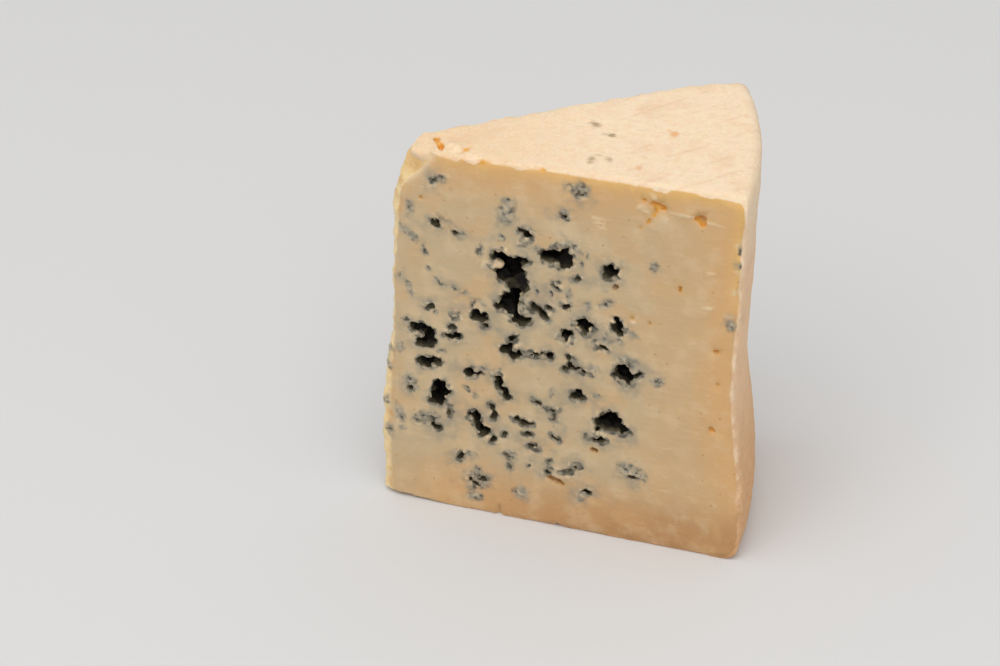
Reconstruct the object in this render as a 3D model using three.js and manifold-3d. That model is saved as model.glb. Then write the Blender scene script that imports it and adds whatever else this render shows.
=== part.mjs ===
// A wedge of blue cheese, in millimetres with +Z up: one slice of a tall round wheel, with two
// wire-cut faces full of ragged eyes, a thin rind on the foot, rim and top, and a worn nose where
// the cuts meet. The nose points to -X, the rim to +X, and the best-seen cut faces -Y.
import * as THREE from "three";
import { mergeVertices } from "three/addons/utils/BufferGeometryUtils.js";
import Module from "manifold-3d";

// The wheel: a dished top, and a side that spreads at the foot, is waisted above it and stands out
// a little again under the rounded rim.
const WHEEL_RADIUS = 100;
const CENTRE_HEIGHT = 108;
const RIM_HEIGHT = 111.5;
const FOOT_ROUND = 4;
const FOOT_SPREAD = 1.3;
const BULGE = 1.9;
const BULGE_UP = 11;
const WAIST = 1.2;
const WAIST_UP = 53;
const SHOULDER_UP = 90;
const RIM_ROUND = 3.2;
const RIM_LIP = 0.8;
const WHEEL_SEGMENTS = 144;
const FOOT_POINTS = 5;
const SIDE_POINTS = 14;
const RIM_POINTS = 4;
const TOP_POINTS = 10;
const TOP_SLOPE = (RIM_HEIGHT - CENTRE_HEIGHT) / WHEEL_RADIUS;
const RIND_UNEVEN = 0.45;
const RIM_PHASE = 0.4;
const TOP_PHASE = 2.2;

// The slow unevenness of rind, cuts and nose: two waves, each with its turns per millimetre in two
// directions, what a face's own phase does to them, and the slow wave's share.
const SLOW_WAVE = [0.105, 0.083];
const QUICK_WAVE = [0.26, 0.19];
const PHASE_SHIFTS = [1.7, 2.3];
const SLOW_SHARE = 0.65;

// The two cuts: their angle, the reach of the knife past the wheel, and how far the cuts wander.
const WEDGE_ANGLE = THREE.MathUtils.degToRad(32.4);
const HALF_ANGLE = WEDGE_ANGLE / 2;
const KNIFE_REACH = 125;
const KNIFE_SPARE = 8;
const CUT_STEPS = 14;
const CUT_WANDER = 0.35;
const FRONT_PHASE = 3.7;
const REAR_PHASE = 1.1;
const FOOT_TUCK = 0.5;
const FOOT_TUCK_HEIGHT = 6;
const REAR_CORNER_ROUND = 11;
const REAR_CORNER_LENGTH = 14;

// The nose: how far its lowest point is from the wheel's axis, its step back half-way up, the corner
// that has crumbled away at the top, and the foot that is worn up under it. The slopes say how far its
// flanks fall back for each millimetre sideways.
const NOSE_START = 5.8;
const NOSE_RADIUS = 1.6;
const NOSE_FOOT_SLOPE = 1.85;
const NOSE_SLOPE = 0.95;
const NOSE_TOP_SLOPE = 1.2;
const NOSE_STEP = 3;
const NOSE_STEP_UP = [33, 57];
const NOSE_BREAK = 6.5;
const NOSE_BREAK_UP = [93, CENTRE_HEIGHT];
const NOSE_UNEVEN = 0.35;
const NOSE_PHASE = 0.9;
const NOSE_RIPPLE = 3;
const NOSE_STEPS = [12, 24];
const NOSE_BLOCK = [40, 30];
const NOSE_FOOT_WEAR = 1.8;
const NOSE_FOOT_LENGTH = 24;

// The crumbs that hold on round the broken corner: distance from the axis, sideways, size.
const CORNER_CRUMBS = [
  [20.5, -2.8, 6.4],
  [25, -4.4, 5.4],
  [29.5, -6.6, 5.6],
  [22, 2.5, 5],
];
const CRUMB_FORM = [0.5, 0.42, 0.36];
const CRUMB_SINK = 0.1;
const CRUMB_TURN = 0.7;

// The eyes of the front cut: distance along the cut from the axis, height, width, height across,
// tilt in degrees and depth.
const FRONT_EYES = [
  [39.4, 79, 8.2, 8.2, 0, 6],
  [41.9, 73, 4, 8, 4, 2.8],
  [41, 65.6, 5.8, 7.8, 30, 5],
  [48, 66.6, 5.4, 2.6, -32, 1.8],
  [52.4, 84.3, 8.2, 4.8, 12, 4],
  [67.2, 36.1, 8.6, 5, -12, 5],
  [63.8, 30.8, 4.8, 2.5, 5, 2],
  [71, 52.6, 6.4, 6.8, 0, 4.5],
  [17.2, 52.6, 5.8, 6.6, 0, 3.5],
  [21.3, 35.2, 5, 6.8, -10, 4],
  [40.4, 53.6, 5.8, 5.2, 20, 3.6],
  [57.4, 51.6, 7, 3.2, -8, 3],
  [48.2, 53.6, 6.4, 2.4, 0, 2.2],
  [37.9, 41.3, 3, 8, 20, 3.2],
  [59.9, 64.5, 4.7, 4.7, -25, 3.4],
  [54.8, 60.6, 3.8, 3.4, 0, 2.6],
  [68.3, 66.8, 3.1, 5, 15, 2.8],
  [66.3, 82.4, 3.9, 3.7, 0, 2.8],
  [44.5, 89, 2.8, 4, 0, 2.4],
  [32, 61.6, 4.4, 3, -8, 2.6],
  [24.7, 54.2, 3.8, 2.4, 0, 1.8],
  [18.6, 44.9, 5.2, 2.9, 10, 2.4],
  [30.5, 43.7, 4.2, 2.6, 5, 2.2],
  [58, 43, 3.7, 3, -20, 2.4],
  [30.9, 29.6, 3.4, 5, 15, 2.8],
  [33.2, 25.8, 4.2, 2.8, -28, 2.4],
  [18.8, 26, 5.2, 2.8, -25, 2],
  [44, 31.3, 6.2, 2.2, -15, 2.2],
  [46.5, 24.3, 3.4, 2.2, -10, 1.8],
  [53, 17.4, 7.2, 2.2, 8, 2],
  [31.4, 10.2, 5.2, 4.4, 0, 1.2],
  [27.2, 17.2, 2.6, 3.6, -30, 1.6],
  [72.8, 21.6, 6.6, 4, -25, 1.2],
  [60.3, 12.4, 2.8, 3.2, 0, 2],
  [57.8, 105, 5, 3, 0, 1.8],
  [20.8, 88.2, 3.6, 2.6, 10, 1.8],
  [39, 95.6, 4.2, 5, 0, 1],
  [88.9, 102.6, 3.6, 3.2, 20, 1.4],
];

// The hidden cut has eyes of the same sizes, spread evenly over its middle and then strayed a little.
const REAR_EYES = 22;
const REAR_ALONG = [16, 78];
const REAR_UP = [14, 98];
const REAR_STRAY = 9;
const REAR_WIDTHS = [8.4, 3, 5.2, 3.6, 6.6, 3.2];
const REAR_FLATNESS = [0.5, 1.1];
const REAR_TILT = [-40, 40];
const REAR_DEPTH = 0.55;
const REAR_SEED = 2027;
const PLASTIC_RATIO = 1.3247;
const DRAW_FACTOR = 16807;
const DRAW_LIMIT = 2147483647;

// An eye is a gap between curd grains: a ball dented all round by the grains that press on it.
const CURD_GRAINS = 7;
const CURD_PRESS = 0.42;
const CURD_WIDTH = 0.5;
const CURD_TURN = 2.1;
const LARGE_EYE = 6;
const LARGE_EYE_DETAIL = 2;
const SMALL_EYE_DETAIL = 1;
const EYE_OVERSIZE = 1.5;
const EYE_SINK = 0.25;

const WELD = 1e-4;
const GOLDEN_ANGLE = Math.PI * (3 - Math.sqrt(5));
const { smoothstep, lerp, degToRad } = THREE.MathUtils;

const wasm = await Module();
wasm.setup();

// A slow, repeatable unevenness between about -1 and 1 over two distances in millimetres.
function unevenness(a, b, phase) {
  const slow = Math.sin(a * SLOW_WAVE[0] + phase) * Math.cos(b * SLOW_WAVE[1] - PHASE_SHIFTS[0] * phase);
  const quick = Math.sin(a * QUICK_WAVE[0] - b * QUICK_WAVE[1] + PHASE_SHIFTS[1] * phase);
  return SLOW_SHARE * slow + (1 - SLOW_SHARE) * quick;
}

// Moves every vertex of a geometry by a function that changes the point it is given.
function reshape(geometry, move) {
  const places = geometry.attributes.position;
  const point = new THREE.Vector3();
  for (let i = 0; i < places.count; i += 1) {
    point.fromBufferAttribute(places, i);
    move(point);
    places.setXYZ(i, point.x, point.y, point.z);
  }
  return geometry;
}

// A geometry with shared vertices and positions only.
function welded(geometry) {
  geometry.deleteAttribute("normal");
  geometry.deleteAttribute("uv");
  return mergeVertices(geometry, WELD);
}

// A closed geometry as a solid that can be joined and cut, without triangles that have no area.
function solidOf(geometry) {
  const shared = welded(geometry);
  const corners = shared.index.array;
  const triangles = [];
  for (let i = 0; i < corners.length; i += 3) {
    const [a, b, c] = corners.slice(i, i + 3);
    if (a !== b && b !== c && c !== a) triangles.push(a, b, c);
  }
  return new wasm.Manifold(
    new wasm.Mesh({
      numProp: 3,
      vertProperties: shared.attributes.position.array,
      triVerts: new Uint32Array(triangles),
    }),
  );
}

function geometryOf(solid) {
  const mesh = solid.getMesh();
  const geometry = new THREE.BufferGeometry();
  geometry.setAttribute("position", new THREE.BufferAttribute(mesh.vertProperties, 3));
  geometry.setIndex(new THREE.BufferAttribute(mesh.triVerts, 1));
  return geometry;
}

// Half the wheel's section, from the middle of the foot round the rim to the middle of the top.
function wheelProfile() {
  const quarter = Math.PI / 2;
  const footRadius = WHEEL_RADIUS + FOOT_SPREAD;
  const rimRadius = WHEEL_RADIUS + RIM_LIP;
  const rimUp = RIM_HEIGHT - RIM_ROUND;
  const foot = new THREE.EllipseCurve(
    footRadius - FOOT_ROUND,
    FOOT_ROUND,
    FOOT_ROUND,
    FOOT_ROUND,
    -quarter,
    0,
  );
  const side = new THREE.SplineCurve([
    new THREE.Vector2(footRadius, FOOT_ROUND),
    new THREE.Vector2(WHEEL_RADIUS + BULGE, BULGE_UP),
    new THREE.Vector2(WHEEL_RADIUS - WAIST, WAIST_UP),
    new THREE.Vector2(WHEEL_RADIUS, SHOULDER_UP),
    new THREE.Vector2(rimRadius, rimUp),
  ]);
  const rim = new THREE.EllipseCurve(rimRadius - RIM_ROUND, rimUp, RIM_ROUND, RIM_ROUND, 0, quarter);
  const top = new THREE.LineCurve(
    new THREE.Vector2(rimRadius - RIM_ROUND, RIM_HEIGHT),
    new THREE.Vector2(0, CENTRE_HEIGHT),
  );
  return [
    new THREE.Vector2(0, 0),
    ...foot.getPoints(FOOT_POINTS),
    ...side.getPoints(SIDE_POINTS).slice(1),
    ...rim.getPoints(RIM_POINTS).slice(1),
    ...top.getPoints(TOP_POINTS).slice(1),
  ];
}

// The whole wheel, with an uneven rind on all but its flat foot.
function wheel() {
  const geometry = new THREE.LatheGeometry(wheelProfile(), WHEEL_SEGMENTS);
  geometry.rotateX(Math.PI / 2);
  return solidOf(
    reshape(geometry, (point) => {
      const radius = Math.hypot(point.x, point.y);
      const round = Math.atan2(point.y, point.x) * WHEEL_RADIUS;
      const lift = smoothstep(point.z, 0, FOOT_ROUND);
      const bulge = RIND_UNEVEN * lift * unevenness(round, point.z, RIM_PHASE);
      const outward = radius > 0 ? bulge / radius : 0;
      const upward = RIND_UNEVEN * smoothstep(point.z, RIM_HEIGHT / 2, CENTRE_HEIGHT);
      point.z += upward * unevenness(point.x, point.y, TOP_PHASE);
      point.x += point.x * outward;
      point.y += point.y * outward;
    }),
  );
}

// How far a cut face lies inside its true plane: a little wander and a tucked foot, and on the rear cut
// a rounded corner at the rim.
function cutInset(along, up, side) {
  const wander = CUT_WANDER * unevenness(along, up, side > 0 ? REAR_PHASE : FRONT_PHASE);
  const tuck = FOOT_TUCK * (1 - smoothstep(up, 0, FOOT_TUCK_HEIGHT));
  const corner = smoothstep(along, WHEEL_RADIUS - REAR_CORNER_LENGTH, WHEEL_RADIUS + REAR_CORNER_LENGTH);
  return wander + tuck + (side > 0 ? REAR_CORNER_ROUND * corner : 0);
}

// The block that the two cuts leave: a tall sector with its sharp edge on the wheel's axis.
function knifeBlock() {
  const outline = new THREE.Shape();
  outline.moveTo(0, 0);
  for (let step = 1; step <= CUT_STEPS; step += 1) {
    const along = (KNIFE_REACH * step) / CUT_STEPS;
    outline.lineTo(along * Math.cos(HALF_ANGLE), -along * Math.sin(HALF_ANGLE));
  }
  for (let step = CUT_STEPS; step >= 1; step -= 1) {
    const along = (KNIFE_REACH * step) / CUT_STEPS;
    outline.lineTo(along * Math.cos(HALF_ANGLE), along * Math.sin(HALF_ANGLE));
  }
  const geometry = new THREE.ExtrudeGeometry(outline, {
    depth: RIM_HEIGHT + 2 * KNIFE_SPARE,
    steps: CUT_STEPS,
    bevelEnabled: false,
  });
  geometry.translate(0, 0, -KNIFE_SPARE);
  return solidOf(
    reshape(geometry, (point) => {
      const along = Math.hypot(point.x, point.y);
      const side = Math.sign(point.y);
      const inset = cutInset(along, point.z, side);
      point.x += Math.abs(side) * inset * Math.sin(HALF_ANGLE);
      point.y -= side * inset * Math.cos(HALF_ANGLE);
    }),
  );
}

// What is worn off the sharp edge: everything nearer the axis than the rounded, stepped nose.
function noseTrim() {
  const tall = RIM_HEIGHT + 2 * KNIFE_SPARE;
  const [long, wide] = NOSE_BLOCK;
  const geometry = new THREE.BoxGeometry(long, wide, tall, 1, ...NOSE_STEPS);
  geometry.translate(-long / 2, 0, tall / 2 - KNIFE_SPARE);
  return solidOf(
    reshape(geometry, (point) => {
      if (point.x < -long / 2) return;
      const stepped = smoothstep(point.z, ...NOSE_STEP_UP);
      const broken = smoothstep(point.z, ...NOSE_BREAK_UP) ** 2;
      const uneven = NOSE_UNEVEN * unevenness(point.z * NOSE_RIPPLE, point.y * NOSE_RIPPLE, NOSE_PHASE);
      const slope = lerp(lerp(NOSE_FOOT_SLOPE, NOSE_SLOPE, stepped), NOSE_TOP_SLOPE, broken);
      const rounding = Math.hypot(slope * point.y, NOSE_RADIUS) - NOSE_RADIUS;
      point.x = NOSE_START + NOSE_STEP * stepped + NOSE_BREAK * broken + uneven + rounding;
    }),
  );
}

// The wedge without the thin slip under the nose where the foot is worn up.
function wornFoot(wedge) {
  const upward = new THREE.Vector3(NOSE_FOOT_WEAR, 0, NOSE_FOOT_LENGTH).normalize();
  return wedge.trimByPlane(upward.toArray(), upward.x * NOSE_FOOT_LENGTH);
}

// A unit ball pressed in by curd grains that are spread round it, turned differently for each eye.
function curdGap(detail, turn) {
  const ball = welded(new THREE.IcosahedronGeometry(1, detail));
  const grains = [];
  for (let i = 0; i < CURD_GRAINS; i += 1) {
    const up = 1 - (2 * (i + 0.5)) / CURD_GRAINS;
    const around = i * GOLDEN_ANGLE + turn * CURD_TURN;
    const flat = Math.sqrt(1 - up * up);
    grains.push(new THREE.Vector3(flat * Math.cos(around), up, flat * Math.sin(around)));
  }
  return reshape(ball, (point) => {
    const direction = point.clone().normalize();
    const press = grains.map((grain) => smoothstep(direction.dot(grain), 1 - CURD_WIDTH, 1));
    point.multiplyScalar(1 - CURD_PRESS * Math.max(...press));
  });
}

// One eye as a solid, sunk into a cut face: side -1 is the front cut and 1 the rear.
function eye([along, up, wide, high, tilt, depth], side, turn) {
  const detail = Math.max(wide, high) > LARGE_EYE ? LARGE_EYE_DETAIL : SMALL_EYE_DETAIL;
  const geometry = curdGap(detail, turn);
  geometry.scale((wide / 2) * EYE_OVERSIZE, depth, (high / 2) * EYE_OVERSIZE);
  geometry.rotateY(-degToRad(tilt));
  geometry.translate(0, -side * EYE_SINK * depth, 0);
  geometry.rotateZ(side * HALF_ANGLE);
  geometry.translate(along * Math.cos(HALF_ANGLE), side * along * Math.sin(HALF_ANGLE), up);
  return solidOf(geometry);
}

// A repeatable stream of numbers from 0 to 1.
function draws(seed) {
  let state = seed;
  return () => {
    state = (state * DRAW_FACTOR) % DRAW_LIMIT;
    return state / DRAW_LIMIT;
  };
}

// The eyes of the rear cut: an even two-way sequence of places, each strayed, turned and stretched.
function rearEyes() {
  const draw = draws(REAR_SEED);
  const rows = [];
  for (let i = 0; i < REAR_EYES; i += 1) {
    const along = lerp(...REAR_ALONG, (0.5 + i / PLASTIC_RATIO) % 1) + REAR_STRAY * (draw() - 0.5);
    const up = lerp(...REAR_UP, (0.5 + i / PLASTIC_RATIO ** 2) % 1) + REAR_STRAY * (draw() - 0.5);
    const wide = REAR_WIDTHS[i % REAR_WIDTHS.length];
    const high = wide * lerp(...REAR_FLATNESS, draw());
    const tilt = lerp(...REAR_TILT, draw());
    rows.push([along, up, wide, high, tilt, REAR_DEPTH * wide]);
  }
  return rows;
}

// A small angular crumb that holds on at the broken top corner.
function cornerCrumb([along, sideways, size], turn) {
  const geometry = curdGap(SMALL_EYE_DETAIL, turn + CRUMB_TURN);
  geometry.scale(...CRUMB_FORM.map((share) => share * size));
  geometry.rotateZ(turn);
  geometry.translate(along, sideways, CENTRE_HEIGHT + TOP_SLOPE * along - CRUMB_SINK * size);
  return solidOf(geometry);
}

function cheeseWedge() {
  let wedge = wornFoot(wheel().intersect(knifeBlock()).subtract(noseTrim()));
  CORNER_CRUMBS.forEach((crumb, i) => {
    wedge = wedge.add(cornerCrumb(crumb, i));
  });
  FRONT_EYES.forEach((row, i) => {
    wedge = wedge.subtract(eye(row, -1, i));
  });
  rearEyes().forEach((row, i) => {
    wedge = wedge.subtract(eye(row, 1, i));
  });
  const pieces = wedge.decompose();
  pieces.sort((a, b) => b.volume() - a.volume());
  const geometry = geometryOf(pieces[0]);

  // The origin is under the middle of the wedge's box, on the surface it stands on.
  geometry.computeBoundingBox();
  const { min, max } = geometry.boundingBox;
  geometry.translate(-(min.x + max.x) / 2, -(min.y + max.y) / 2, -min.z);
  geometry.computeVertexNormals();
  return geometry;
}

const paste = new THREE.MeshStandardMaterial({ color: 0xcdb283, roughness: 0.5, metalness: 0 });
const wedge = new THREE.Mesh(cheeseWedge(), paste);
wedge.name = "cheese_wedge";

const part = new THREE.Group();
part.add(wedge);
export default part;
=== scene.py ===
import math

import bmesh
import bpy
import numpy as np
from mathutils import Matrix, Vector
from mathutils.bvhtree import BVHTree


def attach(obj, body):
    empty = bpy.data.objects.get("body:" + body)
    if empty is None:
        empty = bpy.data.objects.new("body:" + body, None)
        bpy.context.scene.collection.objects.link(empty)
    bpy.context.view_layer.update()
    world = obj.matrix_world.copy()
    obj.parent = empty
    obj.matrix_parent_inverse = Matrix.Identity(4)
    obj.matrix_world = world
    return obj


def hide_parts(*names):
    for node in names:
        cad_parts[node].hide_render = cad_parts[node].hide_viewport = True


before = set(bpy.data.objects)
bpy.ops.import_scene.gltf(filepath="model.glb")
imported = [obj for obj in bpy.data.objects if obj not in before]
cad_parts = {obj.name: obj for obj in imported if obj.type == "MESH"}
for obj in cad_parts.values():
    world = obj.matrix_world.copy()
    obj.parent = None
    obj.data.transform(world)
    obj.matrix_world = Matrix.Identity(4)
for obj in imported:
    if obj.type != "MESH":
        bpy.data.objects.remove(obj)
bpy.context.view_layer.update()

# The block: a slice of a tall wheel of pressed curd, standing on the wheel's foot. Two wire cuts meet
# near the wheel's axis, where the sharp edge has worn to a narrow nose that steps back half-way up.
# The rim is spread at the foot, waisted above it and rounded at the top.
MM = 0.001
SAME_PLACE = 1e-6
LEVEL_DIGITS = 6
CUT_WELD = 1e-7
AXIS = Vector((-53.956, 1.792, 0)) * MM
WHEEL_RADIUS = 100 * MM
WHEEL_SEGMENTS = 240
NEAR_RIM = 0.97 * WHEEL_RADIUS
RIM_HEIGHT = 111.5 * MM
CENTRE_HEIGHT = 108 * MM
HALF_ANGLE = math.radians(16.2)
FRONT_OUT = Vector((-math.sin(HALF_ANGLE), -math.cos(HALF_ANGLE), 0))
REAR_OUT = Vector((-math.sin(HALF_ANGLE), math.cos(HALF_ANGLE), 0))
FRONT_ALONG = Vector((math.cos(HALF_ANGLE), -math.sin(HALF_ANGLE), 0))
REAR_ALONG = Vector((math.cos(HALF_ANGLE), math.sin(HALF_ANGLE), 0))
NOSE_START = 5.8 * MM
NOSE_RIDGE = 5.2 * MM
NOSE_FLANK = math.radians(56.3)
NOSE_STEP = 3 * MM
NOSE_STEP_SPAN = (33 * MM, 57 * MM)
NOSE_BREAK = 5 * MM
NOSE_BREAK_SPAN = (89 * MM, 108 * MM)
NOSE_BREAK_CURVE = 1.6
NEAR_CREASE = 1.2 * NOSE_START
# For the front side and the rear: between which heights in millimetres the crease beside the nose moves
# outwards, and by how many times its distance from the axis at the foot.
CREASE_GROWTH = {-1: [(70, 92, 0.25), (95, 108, 1)], 1: [(70, 92, 0.25), (95, 108, 0.6)]}
# Where the rear cut bends in towards the rim: distance along the cut, and the bend in degrees.
REAR_CORNER_TURNS = [(84 * MM, 7), (91 * MM, 20), (96.5 * MM, 42)]
NOSE_FOOT_WEAR = 1.8 * MM
NOSE_FOOT_LENGTH = 24 * MM
FOOT_ROUND = 4 * MM
RIM_ROUND = 3.2 * MM
ROUND_SEGMENTS = 4
RINGS = 26
# The rim's profile: height, and how far it stands out from the wheel's radius, in millimetres.
RIM_STATIONS = [(4, 1.3), (11, 1.9), (53, -1.2), (90, 0), (108.3, 0.8)]


def smoothstep(low, high, value):
    """Eases from 0 at low to 1 at high."""
    share = np.clip((value - low) / (high - low), 0, 1)
    return share * share * (3 - 2 * share)


def rim_offset(height):
    """How far the rim stands out from the wheel's radius at a height."""
    offset = RIM_STATIONS[0][1] * MM
    for (low, _), (high, out) in zip(RIM_STATIONS, RIM_STATIONS[1:]):
        offset = offset + (out * MM - offset) * smoothstep(low * MM, high * MM, height)
    return offset


def nose_setback(height):
    """How far the nose lies behind its foot at a height."""
    step = NOSE_STEP * smoothstep(*NOSE_STEP_SPAN, height)
    low, high = NOSE_BREAK_SPAN
    return step + NOSE_BREAK * np.clip((height - low) / (high - low), 0, 1) ** NOSE_BREAK_CURVE


def crease_growth(height, side):
    """How many times as far from the axis as at the foot a crease beside the nose lies at a height."""
    return 1 + sum(more * smoothstep(low * MM, high * MM, height) for low, high, more in CREASE_GROWTH[side])


def reach(vertex):
    """A vertex's distance from the wheel's axis."""
    return math.hypot(vertex.co.x - AXIS.x, vertex.co.y - AXIS.y)


def slice_off(point, outward):
    """Cuts the mesh in edit mode by a plane, drops what lies outside and closes the cut."""
    bpy.ops.mesh.select_all(action="SELECT")
    bpy.ops.mesh.bisect(
        plane_co=point, plane_no=outward, use_fill=True, clear_outer=True, threshold=CUT_WELD
    )


def pick(obj, kind, test):
    """Selects only the vertices or edges, in edit mode, that pass a test."""
    bpy.ops.mesh.select_mode(type=kind)
    bpy.ops.mesh.select_all(action="DESELECT")
    form = bmesh.from_edit_mesh(obj.data)
    for element in form.verts if kind == "VERT" else form.edges:
        if test(element):
            element.select_set(True)
    bmesh.update_edit_mesh(obj.data)


def rim_arc(edge):
    """Whether an edge runs level round the wheel's rim."""
    first, second = edge.verts
    level = abs(first.co.z - second.co.z) < SAME_PLACE
    return level and min(reach(first), reach(second)) > NEAR_RIM


def on_crease(vertex, side):
    """Whether a vertex lies on the crease beside the nose on one side."""
    return NEAR_CREASE < reach(vertex) < WHEEL_RADIUS / 2 and side * (vertex.co.y - AXIS.y) > 0


def upright(edge):
    """Whether an edge runs up most of the wedge."""
    return abs(edge.verts[0].co.z - edge.verts[1].co.z) > RIM_HEIGHT / 2


def rings(obj, belongs):
    """Selects each level ring of the vertices that belong, in turn, and gives its height."""
    form = bmesh.from_edit_mesh(obj.data)
    levels = sorted({round(v.co.z, LEVEL_DIGITS) for v in form.verts if belongs(v)})
    members = {v.index for v in form.verts if belongs(v)}
    for level in levels:
        pick(obj, "VERT", lambda v: v.index in members and abs(v.co.z - level) < 2 * SAME_PLACE)
        yield level


def grow(size, level):
    """Resizes what is selected about the wheel's axis."""
    bpy.ops.transform.resize(value=(size, size, 1), center_override=(AXIS.x, AXIS.y, level))


bpy.ops.object.select_all(action="DESELECT")
bpy.ops.mesh.primitive_cylinder_add(
    vertices=WHEEL_SEGMENTS,
    radius=WHEEL_RADIUS,
    depth=RIM_HEIGHT,
    location=AXIS + Vector((0, 0, RIM_HEIGHT / 2)),
)
wedge = bpy.context.object
wedge.name = "wedge"
bpy.ops.object.transform_apply(location=True, rotation=True, scale=True)
bpy.ops.object.mode_set(mode="EDIT")
slice_off(AXIS, FRONT_OUT)
slice_off(AXIS, REAR_OUT)
for along, turn in REAR_CORNER_TURNS:
    bent = HALF_ANGLE - math.radians(turn)
    slice_off(AXIS + along * REAR_ALONG, Vector((-math.sin(bent), math.cos(bent), 0)))
for side in (-1, 1):
    flank = Vector((-math.cos(NOSE_FLANK), side * math.sin(NOSE_FLANK), 0))
    slice_off(AXIS + Vector((NOSE_RIDGE, 0, 0)), flank)
slice_off(AXIS + Vector((NOSE_START, 0, 0)), Vector((-1, 0, 0)))
for upper, round_off in ((False, FOOT_ROUND), (True, RIM_ROUND)):
    pick(wedge, "EDGE", lambda e: rim_arc(e) and (e.verts[0].co.z > RIM_HEIGHT / 2) == upper)
    bpy.ops.mesh.bevel(offset=round_off, segments=ROUND_SEGMENTS, affect="EDGES", clamp_overlap=False)
pick(wedge, "EDGE", upright)
bpy.ops.mesh.subdivide(number_cuts=RINGS)
for level in rings(wedge, lambda v: reach(v) > WHEEL_RADIUS / 2):
    grow(1 + rim_offset(level) / WHEEL_RADIUS, level)
for side in CREASE_GROWTH:
    for level in rings(wedge, lambda v: on_crease(v, side)):
        grow(crease_growth(level, side), level)
for level in rings(wedge, lambda v: reach(v) < NEAR_CREASE):
    bpy.ops.transform.translate(value=(nose_setback(level), 0, 0))
pick(wedge, "VERT", lambda v: v.co.z > RIM_HEIGHT - SAME_PLACE)
bpy.ops.transform.rotate(
    value=math.atan((RIM_HEIGHT - CENTRE_HEIGHT) / WHEEL_RADIUS),
    orient_axis="Y",
    center_override=(AXIS.x + WHEEL_RADIUS, AXIS.y, RIM_HEIGHT),
)
foot_slope = Vector((-NOSE_FOOT_WEAR, 0, -NOSE_FOOT_LENGTH)).normalized()
slice_off(AXIS + Vector((NOSE_FOOT_LENGTH, 0, 0)), foot_slope)
bpy.ops.object.mode_set(mode="OBJECT")

# The eyes: gaps between the curd grains that the wire cut open, ragged all round and lined with mould.
# Those of the front cut lie where they were seen, most of them in several lobes; the rear cut has eyes
# of the same sizes by an even rule.

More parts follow.
